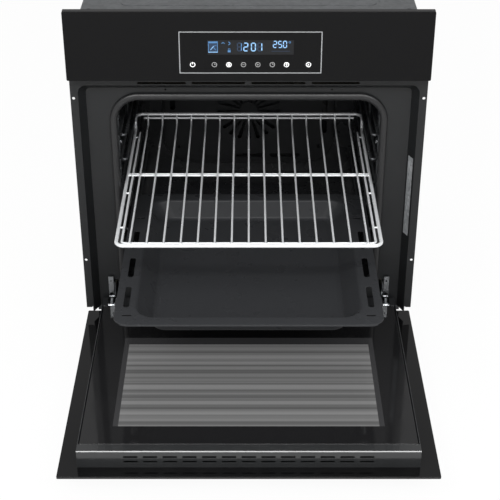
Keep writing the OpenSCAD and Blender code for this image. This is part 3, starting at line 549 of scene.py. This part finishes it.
def round_edges(piece: Piece, width: float, segments: int, chosen: Chooser) -> Piece:
    """Rounds the chosen edges by a width in millimetres, in a number of steps."""
    bevel = {"offset": width * MM, "segments": segments, "affect": "EDGES"}
    return edit(piece, Part.EDGE, chosen, bpy.ops.mesh.bevel, **bevel)


def everywhere(_points: list[Vector]) -> bool:
    """Chooses every part."""
    return True


def apply_modifier(piece: Piece, kind: str, **settings: object) -> Piece:
    """Adds one modifier with its settings, and applies it."""
    take(piece)
    modifier = piece.modifiers.new(kind.lower(), kind)
    for name, value in settings.items():
        setattr(modifier, name, value)
    bpy.ops.object.modifier_apply(modifier=modifier.name)
    return piece


def soften(piece: Piece, width: float, segments: int = 2) -> Piece:
    """Rounds all sharp edges of a piece by a small width in millimetres."""
    return apply_modifier(
        piece,
        "BEVEL",
        width=width * MM,
        segments=segments,
        limit_method="ANGLE",
        angle_limit=math.radians(40),
        use_clamp_overlap=True,
    )


def join(name: str, pieces: Sequence[Piece]) -> Piece:
    """Makes one mesh of several pieces."""
    take(pieces[0])
    for piece in pieces:
        piece.select_set(True)
    if len(pieces) > 1:
        bpy.ops.object.join()
    pieces[0].name = name
    return pieces[0]


def cut(piece: Piece, cutters: Sequence[Piece]) -> Piece:
    """Cuts other pieces out of a piece and removes them."""
    cutter = join("cutter", cutters)
    apply_modifier(piece, "BOOLEAN", object=cutter, operation="DIFFERENCE", solver="EXACT")
    bpy.data.objects.remove(cutter)
    return piece


def rounded_block(name: str, low: Numbers, high: Numbers, axis: int, radius: float, steps: int = 4):
    """Adds a block whose four edges along one axis are rounded.

    Args:
        name: Name of the piece.
        low: Lowest corner in millimetres.
        high: Highest corner in millimetres.
        axis: 0, 1 or 2, the axis that the rounded edges run along.
        radius: Radius of the rounding in millimetres.
        steps: Number of steps of the rounding.

    Returns:
        The block, at the origin.
    """
    piece = block(name, low, high)
    least = 0.9 * (high[axis] - low[axis])
    return round_edges(piece, radius, steps, lambda p: abs((p[0] - p[1])[axis]) > least)


def mirror_of(piece: Piece, name: str) -> Piece:
    """Copies a piece, with a mesh of its own, to its mirror image across X."""
    twin = piece.copy()
    twin.data = piece.data.copy()
    twin.name = name
    bpy.context.scene.collection.objects.link(twin)
    twin.scale = (-1, 1, 1)
    settle(twin)
    return edit(twin, Part.FACE, everywhere, bpy.ops.mesh.normals_make_consistent, inside=False)


def flat_loop(name: str, centre: Numbers, size: Numbers, radius: float, steps: int):
    """Adds a flat face with rounded corners that faces up.

    Args:
        name: Name of the piece.
        centre: Its middle in millimetres.
        size: Its width and depth in millimetres.
        radius: Radius of its corners in millimetres.
        steps: Number of steps of each corner.

    Returns:
        The face, at the origin.
    """
    deselect_everything()
    bpy.ops.mesh.primitive_plane_add(size=1, location=Vector(centre) * MM, scale=(1, 1, 1))
    piece = bpy.context.object
    piece.name = name
    piece.scale = (size[0] * MM, size[1] * MM, 1)
    settle(piece)
    corner = {"offset": radius * MM, "offset_type": "OFFSET", "segments": steps, "affect": "VERTICES"}
    return edit(piece, Part.VERTEX, everywhere, bpy.ops.mesh.bevel, **corner)


def deliver(
    piece: Piece,
    body: str,
    finish: Finish | None = None,
    replaced: Iterable[str] = (),
    smooth: float = 35,
) -> Piece:
    """Dresses a finished piece, parents it to the body it rides on and hides the nodes that it stands for.

    Args:
        piece: The finished piece, at the origin.
        body: Body that it moves with.
        finish: Its finish, or None where its faces have theirs already.
        replaced: Nodes that it stands for.
        smooth: Largest angle in degrees that is shaded smooth, 0 for none.

    Returns:
        The same piece.
    """
    if smooth:
        take(piece)
        bpy.ops.object.shade_smooth_by_angle(angle=math.radians(smooth))
        apply_modifier(piece, "WEIGHTED_NORMAL", keep_sharp=True, weight=80)
    if finish:
        piece.data.materials.clear()
        piece.data.materials.append(finish.build())
    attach(piece, body)
    if replaced:
        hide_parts(*replaced)
    LOG.info("%s rides on %s, %d faces", piece.name, body, len(piece.data.polygons))
    return piece


# ---- glass front


@dataclass
class GlassFront:
    """The two black panes of the front: the fixed control panel and the door's outer pane.

    Attributes:
        half_width: Half the width of both panes.
        face: Face of the control panel glass on Y.
        thickness: Thickness of the panes.
        corner: Radius of their corners.
        arris: Width of the ground edge.
    """

    half_width: float = 297.5
    face: float = -23.0
    thickness: float = 4.0
    corner: float = 2.2
    arris: float = 0.6
    panel_z: tuple[float, float] = (477.0, 595.0)
    door_y: tuple[float, float] = (-447.3, 19.7)
    door_z: float = -3.4

    def build(self) -> None:
        """Makes both panes."""
        x, (low, high), (near, far) = self.half_width, self.panel_z, self.door_y
        panel = ("panel_pane", (-x, self.face, low), (x, self.face + self.thickness, high), 1)
        door = ("door_outer_pane", (-x, near, self.door_z), (x, far, self.door_z + self.thickness), 2)
        for shape, body, finish, node in (
            (panel, "casing", PANEL_GLASS, "control_panel_glass"),
            (door, "door", PRINTED_GLASS, "door_outer_glass"),
        ):
            pane = soften(rounded_block(*shape, self.corner), self.arris, 3)
            deliver(pane, body, finish, [node], smooth=60)


# ---- display


class Segment(Enum):
    """The seven bars of a digit, by place: across, up, and whether it lies flat."""

    TOP = (0.0, 1.0, True)
    MIDDLE = (0.0, 0.0, True)
    BOTTOM = (0.0, -1.0, True)
    UPPER_LEFT = (-1.0, 0.5, False)
    UPPER_RIGHT = (1.0, 0.5, False)
    LOWER_LEFT = (-1.0, -0.5, False)
    LOWER_RIGHT = (1.0, -0.5, False)


RIGHT_BARS = {Segment.UPPER_RIGHT, Segment.LOWER_RIGHT}
DIGITS: dict[str, set[Segment]] = {
    "0": set(Segment) - {Segment.MIDDLE},
    "1": RIGHT_BARS,
    "2": set(Segment) - {Segment.UPPER_LEFT, Segment.LOWER_RIGHT},
    "5": set(Segment) - {Segment.UPPER_RIGHT, Segment.LOWER_LEFT},
}


@dataclass
class Display:
    """The lit screen behind the control panel glass: a clock, a temperature and a few marks.

    Attributes:
        face: Face of the glass on Y.
        screen_x: Left and right end of the screen.
        screen_z: Lower and upper edge of the screen.
        layer: Thickness of a printed layer.
        signs: Brightness, middle on X and Z, width, height and turn of every bar outside the digits.
        bars: The bars made so far, by brightness.
    """

    face: float = -23.0
    screen_x: tuple[float, float] = (-66.7, 72.4)
    screen_z: tuple[float, float] = (522.9, 547.6)
    layer: float = 0.05
    signs: tuple[tuple, ...] = (
        # Dots between hours and minutes
        ("ghost", 1.5, 539.0, 1.2, 1.2),
        ("ghost", 1.5, 531.5, 1.2, 1.2),
        # Small ring after the temperature, and the line under it
        ("dim", 65.8, 545.3, 2.6, 0.8),
        ("dim", 65.8, 542.7, 2.6, 0.8),
        ("dim", 64.5, 544.0, 0.8, 2.6),
        ("dim", 67.1, 544.0, 0.8, 2.6),
        ("ghost", 51.5, 528.8, 30.0, 0.7),
        # Framed sign of the heating function
        ("ghost", -57.6, 535.8, 12.6, 15.4),
        ("dim", -57.6, 543.9, 15.4, 3.0),
        ("lit", -57.6, 527.2, 15.4, 1.2),
        ("dim", -64.8, 535.2, 1.1, 15.6),
        ("dim", -50.4, 535.2, 1.1, 15.6),
        ("lit", -59.0, 534.2, 8.5, 1.0, -50),
        ("dim", -55.0, 533.0, 6.0, 1.0, 50),
        ("dim", -54.2, 538.2, 4.2, 0.9, -15),
        # Marks for up, start and lock
        ("dim", -42.5, 542.8, 3.4, 1.1, -40),
        ("dim", -39.9, 542.8, 3.4, 1.1, 40),
        ("dim", -31.2, 540.5, 3.8, 1.1, -45),
        ("dim", -31.2, 543.5, 3.8, 1.1, 45),
        ("dim", -32.8, 531.6, 0.8, 2.4),
        ("dim", -30.2, 531.6, 0.8, 2.4),
        ("dim", -31.5, 532.9, 3.2, 0.8),
        ("dim", -31.5, 528.8, 4.6, 3.6),
    )
    bars: dict[str, list[Piece]] = field(default_factory=lambda: {"lit": [], "dim": [], "ghost": []})

    def build(self) -> None:
        """Makes the screen, then everything that shines on it."""
        low = (self.screen_x[0], self.face - self.layer, self.screen_z[0])
        high = (self.screen_x[1], self.face, self.screen_z[1])
        screen = rounded_block("display_screen", low, high, 1, 0.8, 2)
        deliver(screen, "casing", SCREEN_FILM, smooth=0)
        self._number("1201", (-15.0, -4.7, 7.5, 17.8), 536.0, (6.4, 13.2), 1.7)
        self._number("250", (42.3, 50.4, 58.3), 540.4, (5.2, 10.8), 1.4)
        for kind, x, z, wide, tall, *turn in self.signs:
            self._bar(kind, (x, z), (wide, tall), *turn)
        for kind, finish in (("lit", LIT_SEGMENT), ("dim", DIM_SEGMENT), ("ghost", GHOST_SEGMENT)):
            piece = join(f"display_{kind}_bars", self.bars[kind])
            deliver(piece, "casing", finish, smooth=0)

    def _bar(self, kind: str, middle: Numbers, size: Numbers, turn: float = 0.0) -> None:
        """Adds one bar to the screen.

        Args:
            kind: "lit", "dim" or "ghost".
            middle: Its middle on X and Z.
            size: Its width and height.
            turn: Turn in degrees round its middle, seen from the front.
        """
        lift = {"lit": 3, "dim": 2.5, "ghost": 2}[kind] * self.layer
        low = (-size[0] / 2, self.face - lift, -size[1] / 2)
        high = (size[0] / 2, self.face, size[1] / 2)
        bar = block("bar", low, high)
        bar.location = (middle[0] * MM, 0, middle[1] * MM)
        bar.rotation_euler = (0, math.radians(turn), 0)
        self.bars[kind].append(settle(bar))

    def _number(self, text: str, places: Numbers, level: float, size: Numbers, thick: float) -> None:
        """Adds a row of digits, with the unlit bars as ghosts.

        Args:
            text: The digits.
            places: Middle of each digit on X.
            level: Middle of the row on Z.
            size: Width and height of a digit between the middles of its bars.
            thick: Thickness of a bar.
        """
        for place, sign in zip(places, text):
            first_of_clock = sign == "1" and place == places[0]
            for segment in Segment:
                across, up, flat = segment.value
                middle = (place + across * size[0] / 2, level + up * size[1] / 2)
                long = size[0] - thick * 0.9 if flat else size[1] / 2 - thick * 0.7
                shape = (long, thick) if flat else (thick, long)
                lit = segment in DIGITS[sign]
                self._bar("dim" if lit and first_of_clock else "lit" if lit else "ghost", middle, shape)


class Glyph(Enum):
    """What a touch key shows inside its ring."""

    POWER = "power"
    CLOCK = "clock"
    FAN = "fan"
    MINUS = "minus"
    PLUS = "plus"
    START = "start"
    LAMP = "lamp"


@dataclass
class TouchKeys:
    """The row of touch keys under the screen.

    Attributes:
        keys: Place on X, sign, and whether it is brightly lit, for each key.
        level: Middle of the row on Z.
        ring: Outer radius of a key's ring.
    """

    keys: tuple[tuple[float, Glyph, bool], ...] = (
        (-90.9, Glyph.POWER, True),
        (-55.7, Glyph.CLOCK, False),
        (-32.2, Glyph.FAN, True),
        (-8.5, Glyph.MINUS, False),
        (14.7, Glyph.PLUS, False),
        (38.2, Glyph.CLOCK, False),
        (61.2, Glyph.LAMP, True),
        (96.8, Glyph.START, True),
    )
    face: float = -23.0
    level: float = 505.6
    ring: float = 4.3
    line: float = 1.1

    def build(self) -> None:
        """Makes the keys in two pieces, one for each brightness."""
        pieces = ((True, "bright_key_signs", BRIGHT_INK), (False, "dim_key_signs", DIM_INK))
        for bright, name, finish in pieces:
            parts = [p for x, glyph, lit in self.keys if lit is bright for p in self._key(x, glyph)]
            deliver(join(name, parts), "casing", finish, smooth=0)

    def _key(self, x: float, glyph: Glyph) -> list[Piece]:
        """The ring and the sign of one key."""
        ring = disc("ring", (x, self.face - 0.08, self.level), 0.08, self.ring, 28)
        cut(ring, [disc("hole", (x, self.face - 1, self.level), 2, self.ring - self.line, 28)])
        if glyph is Glyph.POWER:
            low, high = (x - 1.5, self.face - 1, self.level + 1), (x + 1.5, self.face + 1, self.level + 9)
            cut(ring, [block("gap", low, high)])
        return [ring, *self._sign(x, glyph)]

    def _sign(self, x: float, glyph: Glyph) -> list[Piece]:
        """The bars of one sign, each given by its middle, size and turn."""
        shapes = {
            Glyph.POWER: [(0, 2.6, 1.0, 4.2, 0)],
            Glyph.CLOCK: [(0, 1.0, 0.8, 2.8, 0), (0.9, 0.1, 2.2, 0.8, 0)],
            Glyph.FAN: [(0, 0, 4.4, 1.3, 0), (0, 0, 4.4, 1.3, 60), (0, 0, 4.4, 1.3, -60)],
            Glyph.MINUS: [(0, 0, 3.6, 0.9, 0)],
            Glyph.PLUS: [(0, 0, 3.6, 0.9, 0), (0, 0, 0.9, 3.6, 0)],
            Glyph.START: [(-0.3, 0.9, 3.0, 1.1, 35), (-0.3, -0.9, 3.0, 1.1, -35)],
            Glyph.LAMP: [(0, 0.8, 2.8, 2.6, 0), (0, -1.6, 1.6, 1.0, 0)],
        }[glyph]
        bars = []
        for across, up, wide, tall, turn in shapes:
            bar = block("bar", (-wide / 2, self.face - 0.08, -tall / 2), (wide / 2, self.face, tall / 2))
            bar.location = ((x + across) * MM, 0, (self.level + up) * MM)
            bar.rotation_euler = (0, math.radians(turn), 0)
            bars.append(settle(bar))
        return bars


# ---- door


@dataclass
class DoorBox:
    """The shallow box on the inside of the hanging door, with its pane, columns and cap.

    Attributes:
        half_width: Half the width of the box.
        floor: Where the box meets the outer pane on Z.
        top: Face of the inner pane on Z.
        near: End of the box that is furthest from the oven, on Y.
        far: End of the columns next to the oven, on Y.
        pane_far: End of the inner pane next to the oven, on Y.
        column: Where the right column begins on X.
        cap: Depth of the cap on Y.
        glass: Thickness of the inner pane.
        window_x: Half the width of the window.
        window_y: Near and far edge of the window on Y.
        side_strip: Width of the printed strip beside the window.
        far_strip: Width of the printed strip beyond the window.
        vents: Number of slots in each row of the cap.
        vent_pitch: Distance between two slots.
        vent_levels: Middle of both rows on Z.
        vent_half: Half the width and height of a slot.
        hinge_x: Middle of the hinge arm on X.
        arm_slot: Near and lower edge of the slot for the arm, on Y and Z.
        arm_slot_half: Half the width of that slot.
    """

    half_width: float = 267.5
    column: float = 229.0
    floor: float = 0.7
    top: float = 33.0
    near: float = -424.8
    cap: float = 17.5
    far: float = 13.7
    glass: float = 4.0
    pane_far: float = -14.6
    window_x: float = 207.5
    window_y: tuple[float, float] = (-363.0, -137.0)
    side_strip: float = 8.5
    far_strip: float = 20.0
    vents: int = 13
    vent_pitch: float = 30.6
    vent_levels: tuple[float, float] = (12.0, 21.5)
    vent_half: tuple[float, float] = (11.1, 1.75)
    hinge_x: float = 251.5
    arm_slot: tuple[float, float] = (-18.3, 19.6)
    arm_slot_half: float = 6.5

    def build(self) -> None:
        """Makes the pane, the cap and both columns."""
        self._pane()
        self._cap()
        right = self._column()
        left = mirror_of(right, "left_column_cover")
        for piece, node in ((right, "right_door_column"), (left, "left_door_column")):
            deliver(piece, "door", POWDER_COAT, [node])

    def _pane(self) -> None:
        """The inner pane: a printed rim, a thin pale frame line and the window."""
        x, cap_line = self.half_width - 3, self.near + self.cap + 0.3
        pane = block("inner_pane", (-x, cap_line, self.top - self.glass), (x, self.pane_far, self.top))
        inner, outer = self.window_x, self.window_x + self.side_strip
        strip_end = self.window_y[1] + self.far_strip
        cuts = [((side * place, 0, 0), (1, 0, 0)) for side in (-1, 1) for place in (inner, outer)]
        cuts += [((0, y, 0), (0, 1, 0)) for y in (*self.window_y, strip_end)]
        for point, normal in cuts:
            plane = {"plane_co": Vector(point) * MM, "plane_no": normal}
            edit(pane, Part.FACE, everywhere, bpy.ops.mesh.bisect, **plane)
        edge = ((x, 0), (cap_line, 1), (self.pane_far, 1), (-x, 0))
        round_edges(
            pane,
            0.8,
            3,
            lambda p: all(abs(q.z - self.top) < 0.01 for q in p)
            and any(all(abs(q[axis] - place) < 0.01 for q in p) for place, axis in edge),
        )
        # The frame line and the window glow: painted light against the tray's shadow on the pane
        for finish in (INNER_PRINT, FRAME_PRINT_PAINTED_LIGHT, WINDOW_PRINT_PAINTED_LIGHT):
            pane.data.materials.append(finish.build())
        for face in pane.data.polygons:
            middle = face.center / MM
            if face.normal.z > 0.9 and middle.y > self.window_y[0]:
                in_window = abs(middle.x) < inner and middle.y < self.window_y[1]
                in_frame = abs(middle.x) < outer and middle.y < strip_end
                face.material_index = 2 if in_window else 1 if in_frame else 0
        deliver(pane, "door", None, ["door_inner_glass"], smooth=50)

    def _cap(self) -> None:
        """The vented cap along the free end of the box."""
        x = self.half_width
        far = self.near + self.cap
        cap = block("door_cap_cover", (-x, self.near, self.floor), (x, far, self.top))
        round_edges(
            cap, 1.6, 1, lambda p: all(abs(q.z - self.top) < 0.01 and abs(q.y - self.near) < 0.01 for q in p)
        )
        slots = []
        wide, tall = self.vent_half
        for level in self.vent_levels:
            for i in range(self.vents):
                middle = (i - (self.vents - 1) / 2) * self.vent_pitch
                low = (middle - wide, self.near - 3, level - tall)
                high = (middle + wide, self.near + 3, level + tall)
                slots.append(rounded_block("slot", low, high, 1, 1.2, 3))
        hollow = block("hollow", (-x + 2, self.near + 2, self.floor - 2), (x - 2, far + 2, self.top - 2.5))
        cut(cap, slots)
        cut(cap, [hollow])
        soften(cap, 0.35, 2)
        deliver(cap, "door", CAP_COAT, ["door_top_cap"], smooth=30)

    def _column(self) -> Piece:
        """The right column, with the seat of the inner pane and the slot for the hinge arm."""
        x0, x1 = self.column, self.half_width
        near = self.near + self.cap + 0.3
        column = block("right_column_cover", (x0, near, self.floor), (x1, self.far, self.top - 0.1))
        seat = block("seat", (x0 - 5, near - 5, self.top - 4.1), (x1 - 2, self.pane_far + 0.5, self.top + 5))
        cut(column, [seat])
        channel = block("channel", (x0 + 2, near - 5, self.floor - 2), (x1 - 2, self.far + 5, self.top - 6.1))
        cut(column, [channel])
        (low_y, low_z), half = self.arm_slot, self.arm_slot_half
        low, high = (self.hinge_x - half, low_y, low_z), (self.hinge_x + half, self.far + 5, self.top + 5)
        cut(column, [block("slot", low, high)])
        return soften(column, 1.3, 3)


# ---- cavity


@dataclass
class DoorSeal:
    """The soft tube round the mouth of the cavity.

    Attributes:
        half_width: Half the width of the mouth.
        bottom: Lower edge of the mouth.
        top: Upper edge of the mouth.
        corner: Radius of the mouth's corners.
        width: Width of the flattened tube.
        depth: Height of the tube off the frame.
        back: Where it lies against the frame on Y.
    """

    half_width: float = 223.0
    bottom: float = 57.0
    top: float = 424.5
    corner: float = 38.0
    width: float = 12.2
    depth: float = 6.9
    back: float = 20.95

    def build(self) -> None:
        """Makes the tube from a ring whose four quarters are moved apart."""
        deselect_everything()
        half, middle = self.width / 2, (self.bottom + self.top) / 2
        steps = 64
        bpy.ops.mesh.primitive_torus_add(
            major_segments=steps,
            minor_segments=20,
            major_radius=(self.corner + 0.6 + half) * MM,
            minor_radius=half * MM,
            location=(0, (self.back - self.depth / 2) * MM, middle * MM),
            rotation=(math.pi / 2, math.pi / steps, 0),
        )
        seal = bpy.context.object
        seal.name = "mouth_seal_tube"
        settle(seal)
        line = (self.back - self.depth / 2) * MM
        flat = {"value": (1, self.depth / self.width, 1), "center_override": (0, line, middle * MM)}
        edit(seal, Part.VERTEX, everywhere, bpy.ops.transform.resize, **flat)
        move = bpy.ops.transform.translate
        reach = (self.half_width - self.corner, (self.top - self.bottom) / 2 - self.corner)
        for side in (-1, 1):
            aside, away = (side * reach[0] * MM, 0, 0), (0, 0, side * reach[1] * MM)
            edit(seal, Part.VERTEX, lambda p, s=side: p[0].x * s > 0, move, value=aside)
            edit(seal, Part.VERTEX, lambda p, s=side: (p[0].z - middle) * s > 0, move, value=away)
        deliver(seal, "casing", SILICONE, ["door_seal"], smooth=80)


@dataclass
class BakingTray:
    """The enamelled tray: a flat slotted rim, a basin with sloping sides and a turned-down edge.

    Attributes:
        size: Width and depth over the rim.
        middle: Its middle on Y.
        level: Top of the rim on Z.
        basin: Width and depth of the basin at the rim.
        floor: Width and depth of its floor.
        deep: Depth of the basin.
        sheet: Thickness of the sheet.
        lip: Height of the turned-down edge.
        lip_x: Half the width of that edge.
        corner: Radius of the rim's corners.
        slots: Places of the long slots on Y, from the middle.
        slot_shape: A slot's place on X, half width and half depth.
        marks: Places of the short slots on Y, from the middle.
        mark_shape: A short slot's place on X, half width and half depth.
    """

    size: tuple[float, float] = (435.0, 441.0)
    middle: float = -51.5
    level: float = 165.0
    basin: tuple[float, float] = (368.0, 393.0)
    floor: tuple[float, float] = (312.0, 369.0)
    deep: float = 35.0
    sheet: float = 1.2
    lip: float = 3.0
    lip_x: float = 208.0
    corner: float = 24.0
    basin_corner: float = 34.0
    floor_corner: float = 22.0
    slots: tuple[float, ...] = (-137.0, -44.0, 49.0)
    slot_shape: tuple[float, float, float] = (200.0, 5.0, 32.0)
    marks: tuple[float, ...] = (-192.5, 128.5)
    mark_shape: tuple[float, float, float] = (197.0, 8.0, 2.5)

    def build(self) -> None:
        """Bridges three outlines, rounds the bends, thickens the sheet and cuts the slots."""
        steps = 8
        rim = flat_loop("tray_rim", (0, self.middle, self.level), self.size, self.corner, steps)
        edge = flat_loop("tray_edge", (0, self.middle, self.level), self.basin, self.basin_corner, steps)
        low = (0, self.middle, self.level - self.deep)
        floor = flat_loop("tray_floor", low, self.floor, self.floor_corner, steps)
        tray = join("enamelled_tray", [rim, edge, floor])
        edit(tray, Part.FACE, lambda p: p[0].z > self.level - 1, bpy.ops.mesh.delete, type="ONLY_FACE")
        half = (self.basin[0] / 2, self.basin[1] / 2)
        level = self.level

        def on_rim(p: list[Vector]) -> bool:
            """Whether all points are at the rim's level."""
            return all(q.z > level - 1 for q in p)

        def within(p: list[Vector]) -> bool:
            """Whether all points are on the basin's upper outline."""
            inside = (abs(q.x) < half[0] + 1 and abs(q.y - self.middle) < half[1] + 1 for q in p)
            return on_rim(p) and all(inside)

        def on_outline(p: list[Vector]) -> bool:
            """Whether all points are on the rim's outer outline."""
            return on_rim(p) and not within(p) and self._outer(p)

        bridge = bpy.ops.mesh.bridge_edge_loops
        edit(tray, Part.EDGE, on_rim, bridge)
        edit(tray, Part.EDGE, lambda p: within(p) or all(q.z < level - 1 for q in p), bridge)
        down = {"value": (0, 0, -self.lip * MM)}
        turn_down = bpy.ops.mesh.extrude_edges_move
        edit(tray, Part.EDGE, on_outline, turn_down, TRANSFORM_OT_translate=down)
        edit(tray, Part.FACE, self._needless_lip, bpy.ops.mesh.delete, type="FACE")
        edit(tray, Part.FACE, everywhere, bpy.ops.mesh.normals_make_consistent, inside=False)
        round_edges(tray, 1.2, 3, lambda p: all(q.z > level - 0.01 for q in p) and self._outer(p))
        round_edges(tray, 4.0, 4, lambda p: within(p) and self._along_basin(p))
        floor_level = self.level - self.deep
        round_edges(tray, 6.0, 5, lambda p: all(abs(q.z - floor_level) < 0.01 for q in p))
        edit(tray, Part.FACE, everywhere, bpy.ops.mesh.normals_make_consistent, inside=False)
        if sum(f.normal.z * f.area for f in tray.data.polygons) < 0:
            edit(tray, Part.FACE, everywhere, bpy.ops.mesh.flip_normals)
        apply_modifier(tray, "SOLIDIFY", thickness=self.sheet * MM, offset=-1, use_even_offset=True)
        cut(tray, self._slots())
        deliver(tray, "tray", TRAY_ENAMEL, ["baking_tray"], smooth=40)

    def _outer(self, points: list[Vector]) -> bool:
        """Whether an edge lies on the tray's outer outline."""
        wide, deep = self.size[0] / 2, self.size[1] / 2
        return all(abs(q.x) > wide - 25 or abs(q.y - self.middle) > deep - 25 for q in points) and all(
            max(abs(q.x) - wide, abs(q.y - self.middle) - deep) > -8 for q in points
        )

    def _needless_lip(self, points: list[Vector]) -> bool:
        """Whether a face of the lip lies beside or behind the front, where it would meet the shelf rails."""
        low, front = min(q.z for q in points), self.middle - self.size[1] / 2
        on_lip = self.level - self.lip - 0.01 < low < self.level - 1
        return on_lip and not all(abs(q.x) < self.lip_x + 0.5 and q.y < front + self.corner for q in points)

    def _along_basin(self, points: list[Vector]) -> bool:
        """Whether an edge follows the basin's outline and doesn't cross the rim."""
        wide, deep = self.basin[0] / 2, self.basin[1] / 2
        return all(max(abs(q.x) - wide, abs(q.y - self.middle) - deep) > -11 for q in points)

    def _slots(self) -> list[Piece]:
        """Cutters for the long slots along both sides and the short ones near the corners."""
        cutters = []
        places = [(y, self.slot_shape) for y in self.slots] + [(y, self.mark_shape) for y in self.marks]
        for side in (-1, 1):
            for y, (x, wide, deep) in places:
                low = (side * x - wide, self.middle + y - deep, self.level - 3)
                high = (side * x + wide, self.middle + y + deep, self.level + 2)
                cutters.append(rounded_block("slot", low, high, 2, min(wide, deep) - 0.1, 6))
        return cutters


# ---- studio


@dataclass
class Softbox:
    """One soft light.

    Attributes:
        name: Name of the light.
        place: Where it hangs, in metres.
        size: Its width and height in metres.
        power: Its power in watts.
        aim: Where it points.
    """

    name: str
    place: tuple[float, float, float]
    size: tuple[float, float]
    power: float
    aim: tuple[float, float, float] = (0.0, 0.0, 0.25)

    def build(self) -> None:
        """Hangs the light, out of the camera's sight."""
        data = bpy.data.lights.new(self.name, "AREA")
        data.shape = "RECTANGLE"
        data.size, data.size_y = self.size
        data.energy = self.power
        lamp = bpy.data.objects.new(self.name, data)
        lamp.location = self.place
        lamp.rotation_euler = (Vector(self.aim) - Vector(self.place)).to_track_quat("-Z", "Y").to_euler()
        lamp.visible_camera = False
        bpy.context.scene.collection.objects.link(lamp)


@dataclass
class Studio:
    """The camera, the pale floor and the soft lights round the oven.

    Attributes:
        camera_place: Where the camera stands, in metres.
        pitch: How far it looks down, in degrees.
        lens: Focal length on a sensor 36 mm wide.
        shift: Small shift that frames the oven.
        floor_gap: Distance from the lowest piece to the floor.
        glow: Share of the floor's white that doesn't depend on the lights.
        sky: Strength of the even light from all round.
        lights: The softboxes.
    """

    camera_place: tuple[float, float, float] = (0.0, -1.9463, 1.2986)
    pitch: float = 31.4
    lens: float = 91.28
    shift: tuple[float, float] = (0.0025, 0.0306)
    floor_gap: float = 0.004
    glow: float = 0.93
    sky: float = 0.42
    lights: tuple[Softbox, ...] = (
        Softbox("key_softbox", (-1.5, -1.7, 2.3), (1.0, 1.0), 24),
        Softbox("fill_softbox", (1.6, -1.8, 2.0), (1.0, 1.0), 18),
        Softbox("edge_striplight", (0.0, -2.45, 2.45), (3.0, 0.35), 55),
        Softbox("front_softbox", (0.0, -2.9, 1.2), (2.6, 0.7), 20, (0.0, 0.2, 0.2)),
        Softbox("top_softbox", (0.0, 0.7, 2.8), (2.2, 1.2), 24),
    )

    def build(self) -> None:
        """Makes the camera, the floor, the lights and the world."""
        bpy.context.scene.view_settings.view_transform = "Standard"
        self._camera()
        self._floor()
        self._world()
        for light in self.lights:
            light.build()

    def _camera(self) -> None:
        """The camera, from the front and above."""
        data = bpy.data.cameras.new("studio_camera")
        data.lens = self.lens
        data.sensor_width = 36
        data.shift_x, data.shift_y = self.shift
        data.clip_end = 50
        camera = bpy.data.objects.new("studio_camera", data)
        camera.location = self.camera_place
        camera.rotation_euler = (math.radians(90 - self.pitch), 0, 0)
        bpy.context.scene.collection.objects.link(camera)
        bpy.context.scene.camera = camera

    def _floor(self) -> None:
        """A plain white floor just under the oven's lowest piece."""
        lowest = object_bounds()[0][2]
        deselect_everything()
        bpy.ops.mesh.primitive_plane_add(size=60, location=(0, 0, lowest - self.floor_gap))
        floor = bpy.context.object
        floor.name = "studio_floor"
        material = bpy.data.materials.new("pale_floor")
        material.use_nodes = True
        tree = material.node_tree
        tree.nodes.clear()
        matt = add_node(tree, "ShaderNodeBsdfDiffuse", {"Color": linear("#cccccc")})
        bright = add_node(tree, "ShaderNodeEmission", {"Color": WHITE, "Strength": 1.02})
        add_node(tree, "ShaderNodeOutputMaterial", {"Surface": self._by_sight(tree, matt, bright, self.glow)})
        floor.data.materials.append(material)
        floor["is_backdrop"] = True

    def _world(self) -> None:
        """White to the eye, and a dimmer even light on the oven."""
        world = bpy.data.worlds.new("studio_world")
        bpy.context.scene.world = world
        world.use_nodes = True
        tree = world.node_tree
        tree.nodes.clear()
        lit = add_node(tree, "ShaderNodeBackground", {"Color": WHITE, "Strength": self.sky})
        seen = add_node(tree, "ShaderNodeBackground", {"Color": WHITE, "Strength": 1.0})
        add_node(tree, "ShaderNodeOutputWorld", {"Surface": self._by_sight(tree, lit, seen, 1.0)})

    def _by_sight(self, tree: Tree, unseen: bpy.types.Node, seen: bpy.types.Node, share: float) -> Socket:
        """Mixes in a share of one shader where the camera looks straight at the surface."""
        ray = add_node(tree, "ShaderNodeLightPath").outputs["Is Camera Ray"]
        factor = add_node(tree, "ShaderNodeMath", {0: ray, 1: share}, operation="MULTIPLY").outputs[0]
        shaders = {0: factor, 1: unseen.outputs[0], 2: seen.outputs[0]}
        return add_node(tree, "ShaderNodeMixShader", shaders).outputs[0]


# ---- main


def main() -> None:
    """Builds the oven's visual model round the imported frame."""
    logging.basicConfig(level=logging.INFO, format="%(name)s: %(message)s")
    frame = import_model()
    dress_nodes(frame["nodes"])
    for assembly in (GlassFront(), Display(), TouchKeys(), DoorBox(), DoorSeal(), BakingTray()):
        assembly.build()
    Studio().build()


if __name__ == "__main__":
    main()
